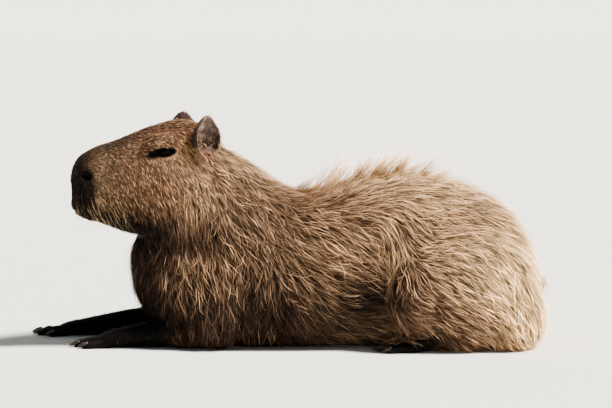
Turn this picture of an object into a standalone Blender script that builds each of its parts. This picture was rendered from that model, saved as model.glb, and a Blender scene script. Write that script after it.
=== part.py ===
"""A life-size capybara lying on its belly with its forelegs stretched out and its head up.

The animal faces -X, its left side faces -Y, and Z is up, in metres. The origin is on the floor
under the middle of the belly. The body is modelled whole from smooth lofts and ellipsoids, then
parted with thin cuts into head, neck, torso and legs.
"""

import math

import bmesh
import bpy
import numpy as np
from mathutils import Matrix, Vector
from mathutils.bvhtree import BVHTree

GAP = 0.0003  # between touching parts
REACH = 0.8  # half size of a cutting block, larger than the animal
SHARPEST = 3.0  # a corner of a grown surface moves out at most this many times the distance
SIDES = {"left": -1, "right": 1}

# The neck and trunk, as stations from the head to the rump: top x and z, bottom x and z in the
# side view, half width, squareness of the section, narrowing of its upper half, and sideways.
TRUNK = (
    (-0.285, 0.430, -0.370, 0.250, 0.068, 2.2, 0.10, -0.024),
    (-0.240, 0.421, -0.380, 0.228, 0.084, 2.2, 0.10, -0.020),
    (-0.185, 0.398, -0.390, 0.185, 0.101, 2.2, 0.10, -0.015),
    (-0.135, 0.364, -0.388, 0.135, 0.117, 2.2, 0.12, -0.010),
    (-0.085, 0.329, -0.370, 0.080, 0.132, 2.2, 0.15, -0.005),
    (-0.035, 0.313, -0.315, 0.020, 0.144, 2.3, 0.18, 0.0),
    (0.015, 0.321, -0.200, -0.012, 0.152, 2.3, 0.13, 0.0),
    (0.065, 0.334, -0.060, -0.016, 0.155, 2.3, 0.07, 0.0),
    (0.125, 0.344, 0.070, -0.016, 0.153, 2.3, 0.03, 0.0),
    (0.190, 0.349, 0.180, -0.016, 0.156, 2.3, 0.05, 0.0),
    (0.260, 0.340, 0.280, -0.016, 0.158, 2.3, 0.12, 0.0),
    (0.325, 0.315, 0.365, -0.014, 0.150, 2.3, 0.20, 0.0),
    (0.380, 0.279, 0.428, -0.010, 0.132, 2.3, 0.16, 0.0),
    (0.420, 0.230, 0.457, 0.004, 0.106, 2.2, 0.10, 0.0),
    (0.448, 0.156, 0.467, 0.030, 0.066, 2.1, 0.05, 0.0),
)

# The head has its own axes: forward of the ears, out to its side, and up from the floor.
HEAD_X = -0.263
HEAD_Y = -0.020
HEAD_YAW = math.radians(18)  # the face turns this far to the left
HEAD = (
    # forward, top z, bottom z, half width, squareness, narrowing of the upper half
    (0.2580, 0.369, 0.320, 0.026, 2.4, 0.00),
    (0.2545, 0.382, 0.300, 0.036, 2.6, 0.02),
    (0.2460, 0.396, 0.283, 0.043, 2.7, 0.05),
    (0.2285, 0.408, 0.271, 0.048, 2.7, 0.10),
    (0.2050, 0.419, 0.261, 0.051, 2.6, 0.16),
    (0.1750, 0.427, 0.251, 0.054, 2.5, 0.22),
    (0.1450, 0.438, 0.243, 0.060, 2.4, 0.26),
    (0.1150, 0.449, 0.236, 0.068, 2.3, 0.27),
    (0.0850, 0.458, 0.232, 0.074, 2.3, 0.27),
    (0.0500, 0.465, 0.234, 0.075, 2.2, 0.25),
    (0.0100, 0.463, 0.247, 0.071, 2.2, 0.20),
    (-0.0300, 0.447, 0.270, 0.062, 2.1, 0.15),
    (-0.0550, 0.417, 0.300, 0.042, 2.0, 0.10),
)

# Muscles and joints laid over the lofts on both sides: centre, radii, and turn about Y in
# degrees. The sideways places are counted outward from the middle.
MUSCLES = (
    ("haunch", (0.296, 0.104, 0.112), (0.148, 0.088, 0.142), -12),
    ("knee", (0.206, 0.136, 0.104), (0.062, 0.052, 0.092), -14),
    ("hock", (0.392, 0.098, 0.066), (0.068, 0.078, 0.092), 0),
    ("upper_arm", (-0.262, 0.094, 0.120), (0.062, 0.052, 0.098), 22),
    ("elbow", (-0.215, 0.112, 0.062), (0.058, 0.046, 0.060), 0),
    ("shoulder", (-0.185, 0.080, 0.205), (0.105, 0.065, 0.100), 30),
)
# Swellings of the head, in its own axes, on both sides: centre, radii.
FACE = (
    ("cheek", (0.075, 0.043, 0.298), (0.075, 0.036, 0.062)),
    ("lip_pad", (0.222, 0.026, 0.300), (0.036, 0.027, 0.034)),
    ("nose_pad", (0.240, 0.024, 0.352), (0.020, 0.022, 0.030)),
    ("brow", (0.088, 0.044, 0.425), (0.036, 0.020, 0.018)),
)

# How far the coat stands off the skin, by place: behind the head, on the face, under the jaw.
COAT = 0.014
FACE_COAT = 0.0035
JAW_COAT = 0.008
COAT_FROM = (0.060, -0.050)  # forward places between which the face's coat deepens

CORE_SHARE = 0.5  # of the coat's depth that the solid core under the locks fills

# The lie of the coat in the side view: x, z, and how steeply it points down, in degrees, from
# straight back. Between these places it turns smoothly.
LIE = (
    (-0.50, 0.400, -30), (-0.47, 0.340, 50), (-0.38, 0.330, 58), (-0.35, 0.370, 72),
    (-0.28, 0.400, 45), (-0.36, 0.440, -25), (-0.49, 0.290, 88), (-0.42, 0.260, 70),
    (-0.17, 0.380, 45), (-0.27, 0.300, 78), (-0.38, 0.150, 95), (-0.34, 0.080, 90),
    (-0.15, 0.270, 56), (-0.26, 0.120, 68), (-0.20, 0.080, 88), (-0.15, 0.120, 100),
    (0.030, 0.220, 32), (0.000, 0.120, 42), (0.100, 0.060, 8), (0.110, 0.125, 4),
    (0.060, 0.150, 20), (0.178, 0.200, 82), (0.176, 0.135, 98), (0.215, 0.205, 18),
    (0.080, 0.340, 4), (0.250, 0.330, 10), (0.400, 0.240, 48), (0.300, 0.150, 33),
    (0.330, 0.060, 42), (0.200, 0.110, 5), (0.455, 0.120, 70),
)
LIE_SOFTNESS = 0.03  # places closer than this blend evenly

LOCK_SEED = 11
LOCK_TRIES = 9000
LOCK_LENGTH = (0.082, 0.118)
LOCK_WIDTH = (0.036, 0.052)
LOCK_THICK = 0.0065
LOCK_SPACING = 0.0615
LOCK_SINK = 0.005  # how deep the root starts under the core
LOCK_LIFT = 0.010  # how far the tip's middle stands off the core, on the body
LOCK_BEND = math.radians(22)  # a lock turns sideways by up to this on its way
LOCK_LOW = 0.012  # no lock comes closer to the floor
LOCK_SHARES = (1.0, 0.78, 0.58, 0.42)  # of its length, tried until a lock fits
LOCK_RISE = 0.8  # below 1 a lock lifts early on its way
LOCK_NARROWS = 0.6  # below 1 a shorter lock keeps more of its width
LOCK_UPWARD = -0.6  # a root's face looks down by less than this
LOCK_CLEAR = 0.001  # from the cuts between nodes
LOCK_SHAPE = ((0.0, 0.70, 1.0), (0.33, 1.0, 0.90), (0.70, 0.74, 0.60))  # share, wide, thick
HEAD_LOCK_SHARE = 0.45  # of the size of a lock, on the cheeks and jaw
HEAD_LOCKS_BEHIND = 0.085  # forward place on the head where locks begin

# Long hair that stands up along the back.
CREST_FROM = -0.060
CREST_TO = 0.235
CREST_COUNT = 30
CREST_SPREAD = 0.055  # sideways from the middle
CREST_STANDS = math.radians(58)
CREST_LENGTH = (0.045, 0.072)
CREST_WIDTH = 0.017
CREST_THICK = 0.0052
CREST_DROOP = 0.35  # of its stand that a lock loses on its way to the tip
CREST_VARIES = (0.8, 1.15)  # how much less or more a lock stands
CREST_STRAYS = 0.3  # of the step between locks, along the back
CREST_SHAPE = ((0.0, 0.90, 1.0), (0.50, 0.80, 0.75))

# Places that locks keep clear of: centre and radius in the side view, and least |y|.
BARE = (
    (-0.42, 0.000, 0.115, 0.0), (0.180, 0.000, 0.085, 0.100), (0.470, 0.118, 0.030, -1.0),
)

EYE = (0.0765, 0.0480, 0.4095)  # in the head's axes
EYE_RADIUS = 0.0145
EYE_BARE = 0.045  # locks keep this far from its centre
EYE_SIDES = 16  # of the eyeball and its socket, which keeps their gap even
LID = 0.0028  # thickness over the eyeball
LID_LONG = 1.25  # length of the lids' swelling, of its height
EYE_SLIT = (0.0225, 0.0085)  # half length and half height of the opening
EYE_SLIT_AHEAD = 0.003  # its middle lies ahead of the eyeball's
EYE_TILT = math.radians(4)  # the slit falls this much towards the nose

NOSTRIL = (0.2310, 0.0300, 0.361)
NOSTRIL_FACES = math.radians(48)  # outward from straight ahead
NOSTRIL_SIZE = (0.0090, 0.0115, 0.0100)  # radii: deep, across and up
MOUTH = ((0.262, 0.283), (0.240, 0.287), (0.215, 0.282), (0.190, 0.272))  # forward, z
MOUTH_RADIUS = 0.0016
MOUTH_EASED = 4  # steps between its places
MOUTH_OFF = 2  # first steps, which lie ahead of the muzzle
BESIDE = 0.2  # sideways, clear of the head
BEYOND = 0.4  # forward, clear of the head

EAR_ROOT = {"left": (-0.003, 0.069, 0.401), "right": (0.003, 0.069, 0.398)}
EAR_HEIGHT = 0.080
EAR_BARE = 0.060  # locks keep this far from its middle
EAR_RADIUS = 0.0250
EAR_WALL = 0.0036
EAR_WIDE = 1.06  # across the ear, of its radius
EAR_DEEP = 0.62  # from the rim to the back of the cup, of its radius
EAR_SWELL = (0.48, 0.70)  # of its radius: at the root, and what its widest place adds
EAR_TIP_IN = 0.52  # how much narrower its tip is
# The long axis of each ear: forward, outward, up.
EAR_LEAN = {"left": (-0.12, -0.12, 1.0), "right": (0.02, -0.06, 1.0)}
EAR_OPENS = (-0.12, 0.99, 0.05)  # the way the cup faces
# How far the ear wraps round its cup, in degrees at the root and at the top: in front, behind.
EAR_WRAP = ((128, 112), (100, 66))
EAR_OUT = (0.25, 0.35)  # the cup's middle off the root, and how much less of it low down
EAR_STEPS = 6  # along the height, and half the steps across
EAR_RIM_DROP = 0.12  # how much lower the rim's ends are than its tip, of the height

# The foreleg lies on the floor from the elbow: forward reach of its paw in the two sides, how
# far it lies from the middle, and how thick it is against the table of its stations.
PAW_REACH = {"left": -0.512, "right": -0.604}
ARM_SPREAD = {"left": 0.088, "right": 0.072}
ARM_THICK = {"left": 1.18, "right": 1.0}
FOREARM = (
    # behind the paw's tip, outward of the paw, height of the middle, half width, half height
    (0.300, 0.020, 0.046, 0.034, 0.036),
    (0.245, 0.012, 0.034, 0.032, 0.029),
    (0.190, 0.006, 0.029, 0.028, 0.025),
    (0.140, 0.002, 0.0235, 0.026, 0.021),
    (0.100, 0.000, 0.019, 0.029, 0.017),
    (0.070, 0.000, 0.016, 0.029, 0.014),
    (0.052, 0.000, 0.013, 0.024, 0.011),
)
FORE_TOES = (
    # sideways at the root and at the tip, how far short of the longest toe, half width
    (-0.024, -0.034, 0.030, 0.0085),
    (-0.009, -0.013, 0.004, 0.0100),
    (0.009, 0.010, 0.000, 0.0100),
    (0.024, 0.031, 0.018, 0.0090),
)
FORE_TOE_LENGTH = 0.070

HIND_TIP = 0.118  # x of the longest hind toe
HIND_SPREAD = 0.152
HIND_FOOT = (
    (0.175, -0.024, 0.040, 0.028, 0.036),
    (0.130, -0.014, 0.030, 0.027, 0.027),
    (0.095, -0.005, 0.022, 0.029, 0.020),
    (0.065, 0.000, 0.016, 0.026, 0.014),
)
HIND_TOES = (
    (-0.016, -0.023, 0.014, 0.0105),
    (0.000, 0.000, 0.000, 0.0120),
    (0.017, 0.026, 0.018, 0.0105),
)
HIND_TOE_LENGTH = 0.080

# Stations of a toe from root to tip: share of its length, width and height of its half width.
TOE_SHAPE = (
    (-0.12, 0.80, 0.90), (0.15, 0.95, 1.00), (0.45, 0.92, 0.90),
    (0.72, 1.00, 0.80), (0.90, 0.86, 0.66), (1.00, 0.45, 0.34),
)
TOE_ARCH = 1.25  # height of a toe's root, of its half width

CLAW_LENGTH = 0.022
CLAW_SHARE = 0.62  # of the toe's half width
CLAW_BACK = 0.55  # of its length that lies behind the toe's tip
# Stations of a claw: share of its length, width and height of its half width, and metres up.
CLAW_SHAPE = (
    (0.00, 0.75, 0.60, 0.0105), (0.35, 1.00, 0.75, 0.0090), (0.70, 0.86, 0.55, 0.0066),
    (0.92, 0.55, 0.34, 0.0046), (1.00, 0.24, 0.15, 0.0040),
)
SOLE = 0.003  # a foot's pads sink this far below the floor before they are cut flat

TAIL_ROOT = (0.456, 0.0, 0.120)
TAIL_RADII = (0.020, 0.017, 0.015)

# Where the head, neck and torso part, as points of two planes in the side view.
HEAD_CUT = ((-0.222, 0.470), (-0.366, 0.190))
NECK_CUT = ((-0.095, 0.380), (-0.420, 0.085))
# Where the legs part from the torso: centre x and z, radii, turn in degrees, inner face.
HIND_PART = ((0.298, 0.095), (0.158, 0.168), -10, 0.085)
FORE_PART = ((-0.252, 0.085), (0.080, 0.110), 18, 0.080)

BODY_VOXEL = 0.007
FOOT_VOXEL = 0.0036
BODY_SMOOTHING = 6
FOOT_SMOOTHING = 3
BODY_FACES = 2960
FOOT_FACES = 360
CLAW_SIDES = 6
SHARP_FROM = math.radians(50)  # a fold steeper than this is shaded as an edge

FUR = (0.30, 0.19, 0.11, 1.0)
DARK_SKIN = (0.035, 0.027, 0.022, 1.0)
HORN = (0.05, 0.04, 0.035, 1.0)
EAR_SKIN = (0.20, 0.16, 0.14, 1.0)
EYE_BLACK = (0.012, 0.008, 0.006, 1.0)


def material(name, colour, roughness):
    """A plain material of one colour."""
    made = bpy.data.materials.new(name)
    made.use_nodes = True
    shader = made.node_tree.nodes["Principled BSDF"]
    shader.inputs["Base Color"].default_value = colour
    shader.inputs["Roughness"].default_value = roughness
    made.diffuse_color = colour
    return made


def new_object(name, mesh, collection):
    """An object of this mesh in this collection."""
    made = bpy.data.objects.new(name, mesh)
    collection.objects.link(made)
    return made


def object_of(name, bm, collection):
    """An object made from a bmesh, with its faces pointing out."""
    bmesh.ops.recalc_face_normals(bm, faces=bm.faces)
    mesh = bpy.data.meshes.new(name)
    bm.to_mesh(mesh)
    bm.free()
    return new_object(name, mesh, collection)


def applied(obj):
    """The object with its modifiers made part of its mesh."""
    bpy.context.view_layer.update()
    graph = bpy.context.evaluated_depsgraph_get()
    mesh = bpy.data.meshes.new_from_object(obj.evaluated_get(graph), depsgraph=graph)
    old = obj.data
    obj.modifiers.clear()
    obj.data = mesh
    bpy.data.meshes.remove(old)
    return obj


def in_order(obj):
    """The object with its vertices and faces sorted by place.

    A boolean gives them in an order that varies, and the places of the locks depend on it.
    """
    mesh = obj.data
    places = [tuple(vertex.co) for vertex in mesh.vertices]
    order = sorted(range(len(places)), key=places.__getitem__)
    rank = {old: new for new, old in enumerate(order)}
    faces = []
    for face in mesh.polygons:
        corners = [rank[k] for k in face.vertices]
        first = corners.index(min(corners))
        faces.append(corners[first:] + corners[:first])
    made = bpy.data.meshes.new(mesh.name)
    made.from_pydata([places[k] for k in order], [], sorted(faces))
    obj.data = made
    bpy.data.meshes.remove(mesh)
    return obj


def copy_of(obj, name, collection):
    """A copy of the object with its own mesh."""
    return new_object(name, obj.data.copy(), collection)


def remove(*objects):
    """Deletes helper objects."""
    for obj in objects:
        bpy.data.objects.remove(obj)


def boolean(obj, other, operation):
    """Cuts the object with another, joins them or keeps what both hold."""
    modifier = obj.modifiers.new(operation.lower(), "BOOLEAN")
    modifier.operation = operation
    modifier.solver = "EXACT"
    modifier.object = other
    return in_order(applied(obj))


def largest_body(obj):
    """Keeps only the largest closed surface of the object."""
    bm = bmesh.new()
    bm.from_mesh(obj.data)
    bm.faces.ensure_lookup_table()
    unseen = set(bm.faces)
    groups = []
    while unseen:
        start = unseen.pop()
        group, front = {start}, [start]
        while front:
            for edge in front.pop().edges:
                for face in edge.link_faces:
                    if face in unseen:
                        unseen.remove(face)
                        group.add(face)
                        front.append(face)
        groups.append(group)
    keep = max(groups, key=lambda g: sum(face.calc_area() for face in g))
    drop = [face for face in bm.faces if face not in keep]
    bmesh.ops.delete(bm, geom=drop, context="FACES")
    loose = [vertex for vertex in bm.verts if not vertex.link_faces]
    bmesh.ops.delete(bm, geom=loose, context="VERTS")
    bm.to_mesh(obj.data)
    bm.free()
    return obj


def eased(stations, steps):
    """More stations on a smooth curve through the given ones."""
    rows = np.array(stations, float)
    padded = np.vstack([2 * rows[0] - rows[1], rows, 2 * rows[-1] - rows[-2]])
    out = []
    for a, b, c, d in zip(padded, padded[1:], padded[2:], padded[3:]):
        for k in range(steps):
            t = k / steps
            out.append(
                0.5
                * (
                    2 * b
                    + (c - a) * t
                    + (2 * a - 5 * b + 4 * c - d) * t**2
                    + (3 * b - a - 3 * c + d) * t**3
                )
            )
    out.append(rows[-1])
    return out


def section(half_width, squareness, taper, count):
    """A closed outline one unit high each way: sideways and height of each of its points."""
    points = []
    for k in range(count):
        angle = 2 * math.pi * k / count
        across, high = math.cos(angle), math.sin(angle)
        across = math.copysign(abs(across) ** (2 / squareness), across)
        high = math.copysign(abs(high) ** (2 / squareness), high)
        points.append((half_width * across * (1 - taper * high), high))
    return points


def loft(name, rings, collection):
    """A closed skin over rings of points, with a cap on each end."""
    bm = bmesh.new()
    made = [[bm.verts.new(point) for point in ring] for ring in rings]
    count = len(rings[0])
    for first, second in zip(made, made[1:]):
        for k in range(count):
            n = (k + 1) % count
            bm.faces.new((first[k], first[n], second[n], second[k]))
    for ring in (made[0], made[-1]):
        middle = sum((vertex.co for vertex in ring), Vector()) / count
        tip = bm.verts.new(middle)
        for k in range(count):
            bm.faces.new((ring[k], ring[(k + 1) % count], tip))
    return object_of(name, bm, collection)


def trunk(collection, steps=4, around=40):
    """Neck, chest, belly and rump in one loft."""
    rings = []
    for top_x, top_z, low_x, low_z, width, square, taper, side in eased(TRUNK, steps):
        ring = []
        for across, high in section(width, square, taper, around):
            share = (high + 1) / 2
            ring.append(
                (
                    low_x + (top_x - low_x) * share,
                    side + across,
                    low_z + (top_z - low_z) * share,
                )
            )
        rings.append(ring)
    return loft("trunk", rings, collection)


def head_point(forward, side, up):
    """World place of a point in the head's axes, where side is positive to the right."""
    cos, sin = math.cos(HEAD_YAW), math.sin(HEAD_YAW)
    return Vector(
        (
            HEAD_X - forward * cos - side * sin,
            HEAD_Y - forward * sin + side * cos,
            up,
        )
    )


def head_turn(forward, side, up):
    """World direction of a direction in the head's axes."""
    return head_point(forward, side, up) - head_point(0, 0, 0)


def skull(collection, steps=4, around=40):
    """The head in one loft, from the nose to behind the ears."""
    rings = []
    for forward, top, low, width, square, taper in eased(HEAD, steps):
        middle, half = (top + low) / 2, (top - low) / 2
        rings.append(
            [
                head_point(forward, across, middle + half * high)
                for across, high in section(width, square, taper, around)
            ]
        )
    return loft("skull", rings, collection)


def ellipsoid(name, matrix, radii, collection, segments=24):
    """A ball stretched to three radii and placed by a matrix."""
    bm = bmesh.new()
    bmesh.ops.create_uvsphere(
        bm, u_segments=segments, v_segments=segments // 2, radius=1.0
    )
    bmesh.ops.transform(bm, matrix=matrix @ Matrix.Diagonal((*radii, 1.0)), verts=bm.verts)
    return object_of(name, bm, collection)


def head_matrix(forward, side, up):
    """Placing matrix of something in the head's axes: its X points forward."""
    turn = Matrix.Rotation(HEAD_YAW, 4, "Z") @ Matrix.Diagonal((-1, -1, 1, 1))
    return Matrix.Translation(head_point(forward, side, up)) @ turn


def swellings(collection):
    """Muscles of the body and pads of the face, on both sides."""
    made = []
    for sign in SIDES.values():
        for name, (x, y, z), radii, turn in MUSCLES:
            place = Matrix.Translation((x, sign * y, z))
            place = place @ Matrix.Rotation(math.radians(turn), 4, "Y")
            made.append(ellipsoid(name, place, radii, collection))
        for name, (forward, side, up), radii in FACE:
            place = head_matrix(forward, sign * side, up)
            made.append(ellipsoid(name, place, radii, collection))
    return made


def fused(name, pieces, voxel, smoothing, collection):
    """Overlapping closed pieces made one smooth surface."""
    bm = bmesh.new()
    for piece in pieces:
        mesh = piece.data.copy()
        mesh.transform(piece.matrix_world)
        bm.from_mesh(mesh)
        bpy.data.meshes.remove(mesh)
    made = object_of(name, bm, collection)
    remove(*pieces)
    remesh = made.modifiers.new("remesh", "REMESH")
    remesh.mode = "VOXEL"
    remesh.voxel_size = voxel
    smooth = made.modifiers.new("smooth", "SMOOTH")
    smooth.factor = 0.5
    smooth.iterations = smoothing
    return applied(made)


def thinned(obj, faces):
    """The object with about this many triangles."""
    count = sum(len(face.vertices) - 2 for face in obj.data.polygons)
    decimate = obj.modifiers.new("decimate", "DECIMATE")
    decimate.ratio = min(1.0, faces / count)
    decimate.use_collapse_triangulate = True
    return applied(obj)


def block(name, matrix, low, high, collection):
    """A box between two corners in the axes of a matrix."""
    bm = bmesh.new()
    bmesh.ops.create_cube(bm, size=1.0)
    size = Vector(high) - Vector(low)
    middle = (Vector(high) + Vector(low)) / 2
    place = matrix @ Matrix.Translation(middle) @ Matrix.Diagonal((*size, 1.0))
    bmesh.ops.transform(bm, matrix=place, verts=bm.verts)
    return object_of(name, bm, collection)


def floor_cut(obj, helpers):
    """Cuts the object flat on the floor."""
    below = block(
        "below", Matrix(), (-2 * REACH, -2 * REACH, -REACH), (2 * REACH, 2 * REACH, 0), helpers
    )
    boolean(obj, below, "DIFFERENCE")
    remove(below)
    return obj


def ahead_of(cut, margin, helpers):
    """A block that holds all that lies ahead of a slanting plane, short of it by a margin."""
    (top_x, top_z), (low_x, low_z) = cut
    along = Vector((top_x - low_x, 0, top_z - low_z)).normalized()
    back = Vector((along.z, 0, -along.x))
    place = Matrix.Translation((low_x, 0, low_z)) @ Matrix(
        (
            (-back.x, 0, along.x, 0),
            (0, -1, 0, 0),
            (-back.z, 0, along.z, 0),
            (0, 0, 0, 1),
        )
    )
    return block("ahead", place, (margin, -REACH, -REACH), (REACH, REACH, REACH), helpers)


def leg_region(part, sign, grow, helpers):
    """An upright oval plug from beside the belly outward, which holds one leg's upper part."""
    (x, z), (radius_x, radius_z), turn, inner = part
    bm = bmesh.new()
    bmesh.ops.create_cone(
        bm, cap_ends=True, segments=36, radius1=1, radius2=1, depth=1
    )
    upright = Matrix.Rotation(math.pi / 2, 4, "X")
    depth = REACH / 2 + grow
    place = (
        Matrix.Translation((x, sign * (inner - grow + depth / 2), z))
        @ Matrix.Rotation(math.radians(turn), 4, "Y")
        @ Matrix.Diagonal((radius_x + grow, depth, radius_z + grow, 1))
        @ upright
    )
    bmesh.ops.transform(bm, matrix=place, verts=bm.verts)
    return object_of("leg_region", bm, helpers)


def eye_place(sign):
    """Placing matrix of an eye: X points forward and Y to the animal's left."""
    forward, side, up = EYE
    tilt = Matrix.Rotation(EYE_TILT, 4, "Y")
    return head_matrix(forward, sign * side, up) @ tilt


def add_lids(body, helpers):
    """Swells the skin over both eyeballs, before the openings are cut."""
    for sign in SIDES.values():
        radius = EYE_RADIUS + LID
        radii = (radius * LID_LONG, radius, radius)
        lids = ellipsoid("lids", eye_place(sign), radii, helpers, 16)
        boolean(body, lids, "UNION")
        remove(lids)


def cut_eyes(body, helpers):
    """Hollows both sockets and opens the slit between the lids."""
    length, height = EYE_SLIT
    for sign in SIDES.values():
        place = eye_place(sign)
        radius = EYE_RADIUS + GAP
        socket = ellipsoid("socket", place, (radius,) * 3, helpers, EYE_SIDES)
        slit_place = place @ Matrix.Translation((EYE_SLIT_AHEAD, -sign * EYE_RADIUS, 0))
        slit = ellipsoid("slit", slit_place, (length, EYE_RADIUS, height), helpers, 14)
        for cutter in (socket, slit):
            boolean(body, cutter, "DIFFERENCE")
            remove(cutter)


def surface_point(tree, start, direction):
    """Where a ray first meets the surface."""
    point = tree.ray_cast(start, direction)[0]
    return point if point is not None else start


def surface_of(obj):
    """The object's faces, ready for finding points on them."""
    return BVHTree.FromObject(obj, bpy.context.evaluated_depsgraph_get())


def cut_nose(body, helpers):
    """Sinks both nostrils."""
    forward, side, up = NOSTRIL
    tree = surface_of(body)
    for sign in SIDES.values():
        faces = (math.cos(NOSTRIL_FACES), sign * math.sin(NOSTRIL_FACES))
        start = head_point(forward + faces[0] * REACH, sign * side + faces[1] * REACH, up)
        point = surface_point(tree, start, head_turn(-faces[0], -faces[1], 0))
        turn = Matrix.Rotation(-sign * NOSTRIL_FACES, 4, "Z")
        place = Matrix.Translation(point) @ head_matrix(0, 0, 0).to_3x3().to_4x4() @ turn
        cutter = ellipsoid("nostril", place, NOSTRIL_SIZE, helpers, 12)
        boolean(body, cutter, "DIFFERENCE")
        remove(cutter)


def tube(name, points, radius, collection):
    """A round closed tube along points."""
    curve = bpy.data.curves.new(name, "CURVE")
    curve.dimensions = "3D"
    curve.bevel_depth = radius
    curve.bevel_resolution = 1
    curve.use_fill_caps = True
    spline = curve.splines.new("POLY")
    spline.points.add(len(points) - 1)
    for target, point in zip(spline.points, points):
        target.co = (*point, 1)
    obj = new_object(name, curve, collection)
    bpy.context.view_layer.update()
    graph = bpy.context.evaluated_depsgraph_get()
    mesh = bpy.data.meshes.new_from_object(obj.evaluated_get(graph), depsgraph=graph)
    remove(obj)
    bm = bmesh.new()
    bm.from_mesh(mesh)
    bpy.data.meshes.remove(mesh)
    bmesh.ops.remove_doubles(bm, verts=bm.verts, dist=1e-5)
    return object_of(name, bm, collection)


def cut_mouth(body, helpers):
    """Draws the line between the lips round the front of the muzzle."""
    tree = surface_of(body)
    line = eased(MOUTH, MOUTH_EASED)
    points = []
    for sign in (-1, 1):
        side_points = []
        for forward, up in line[MOUTH_OFF:]:
            start = head_point(forward, sign * BESIDE, up)
            side_points.append(surface_point(tree, start, head_turn(0, -sign, 0)))
        points.append(side_points)
    front = surface_point(tree, head_point(BEYOND, 0, MOUTH[0][1]), head_turn(-1, 0, 0))
    path = points[0][::-1] + [front] + points[1]
    cutter = tube("mouth", path, MOUTH_RADIUS, helpers)
    boolean(body, cutter, "DIFFERENCE")
    remove(cutter)


def head_forward(point):
    """How far forward a point lies in the head's axes."""
    return -(point.x - HEAD_X) * math.cos(HEAD_YAW) - (point.y - HEAD_Y) * math.sin(HEAD_YAW)


def coat_depth(point, normal):
    """How far the coat stands off the skin here."""
    near, far = COAT_FROM
    behind = min(max((near - head_forward(point)) / (near - far), 0), 1)
    behind = behind * behind * (3 - 2 * behind)
    jaw = min(max(-normal.z, 0), 1)
    face = FACE_COAT + (JAW_COAT - FACE_COAT) * jaw
    return face + (COAT - face) * behind


def coated(body, share):
    """Moves the skin out by this share of the coat's depth."""
    bm = bmesh.new()
    bm.from_mesh(body.data)
    bm.normal_update()
    moves = [vertex.normal * coat_depth(vertex.co, vertex.normal) * share for vertex in bm.verts]
    for vertex, move in zip(bm.verts, moves):
        vertex.co += move
    bm.to_mesh(body.data)
    bm.free()
    return body


def part_name_at(point):
    """The name of the node that a point of the body belongs to, without its side."""
    for name, ((x, z), (radius_x, radius_z), turn, inner) in (
        ("hind_leg", HIND_PART),
        ("foreleg", FORE_PART),
    ):
        place = Matrix.Rotation(math.radians(turn), 3, "Y").inverted()
        local = place @ Vector((point.x - x, 0, point.z - z))
        if abs(point.y) > inner and math.hypot(local.x / radius_x, local.z / radius_z) < 1:
            return name
    for name, ((top_x, top_z), (low_x, low_z)) in (("head", HEAD_CUT), ("neck", NECK_CUT)):
        share = (point.z - low_z) / (top_z - low_z)
        if point.x < low_x + (top_x - low_x) * share:
            return name
    return "torso"


def lie_at(point, normal):
    """Which way the hair points along the skin here."""
    blend = Vector()
    for x, z, angle in LIE:
        away = math.hypot(point.x - x, point.z - z)
        weight = 1 / (away * away + LIE_SOFTNESS**2) ** 2
        angle = math.radians(angle)
        blend += Vector((math.cos(angle), 0, -math.sin(angle))) * weight
    along = blend.normalized()
    along -= normal * along.dot(normal)
    return along.normalized()


def is_bare(point):
    """Whether locks keep clear of this place, for a foot, the tail, an eye or an ear."""
    for x, z, radius, least in BARE:
        if abs(point.y) > least and math.hypot(point.x - x, point.z - z) < radius:
            return True
    for side, sign in SIDES.items():
        root, up = ear_axes(side, sign)[:2]
        ear = root + up * (EAR_HEIGHT / 2)
        eye = head_point(EYE[0], sign * EYE[1], EYE[2])
        if (point - ear).length < EAR_BARE or (point - eye).length < EYE_BARE:
            return True
    return head_forward(point) > HEAD_LOCKS_BEHIND or point.z < LOCK_LOW


def lock_path(tree, root, length, width, lift, bend):
    """Places along a lying lock: middle, normal and direction at each station, and its tip.

    There are none if the lock would leave its node or reach a bare place.
    """
    owner = part_name_at(root)
    base, normal = tree.find_nearest(root)[:2]
    stations = []
    last = 0.0
    for share, wide, _ in (*LOCK_SHAPE, (1.0, 0.0, 0.0)):
        along = lie_at(base, normal)
        along.rotate(Matrix.Rotation(bend * share, 3, normal))
        if share:
            base, normal = tree.find_nearest(base + along * (length * (share - last)))[:2]
        last = share
        height = -LOCK_SINK + (lift + LOCK_SINK) * share**LOCK_RISE
        middle = base + normal * height
        across = normal.cross(along).normalized() * (width * wide / 2 + LOCK_CLEAR)
        for point in (middle, middle + across, middle - across):
            if part_name_at(point) != owner or is_bare(point):
                return None
        stations.append((middle, normal.copy(), along))
    return stations


def lock_mesh(stations, shape, width, thick, collection):
    """A flat tapered lock of four sides along its stations, ending in a point."""
    rings = []
    for (middle, normal, along), (_, wide, deep) in zip(stations, shape):
        across = normal.cross(along).normalized() * (width * wide / 2)
        rise = normal * (thick * deep / 2)
        rings.append([middle + across, middle + rise, middle - across, middle - rise])
    bm = bmesh.new()
    made = [[bm.verts.new(point) for point in ring] for ring in rings]
    for first, second in zip(made, made[1:]):
        for k in range(4):
            n = (k + 1) % 4
            bm.faces.new((first[k], first[n], second[n]))
            bm.faces.new((first[k], second[n], second[k]))
    tip = bm.verts.new(stations[-1][0])
    for k in range(4):
        bm.faces.new((made[-1][k], made[-1][(k + 1) % 4], tip))
    bm.faces.new((made[0][0], made[0][1], made[0][2]))
    bm.faces.new((made[0][0], made[0][2], made[0][3]))
    return object_of("lock", bm, collection)


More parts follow.
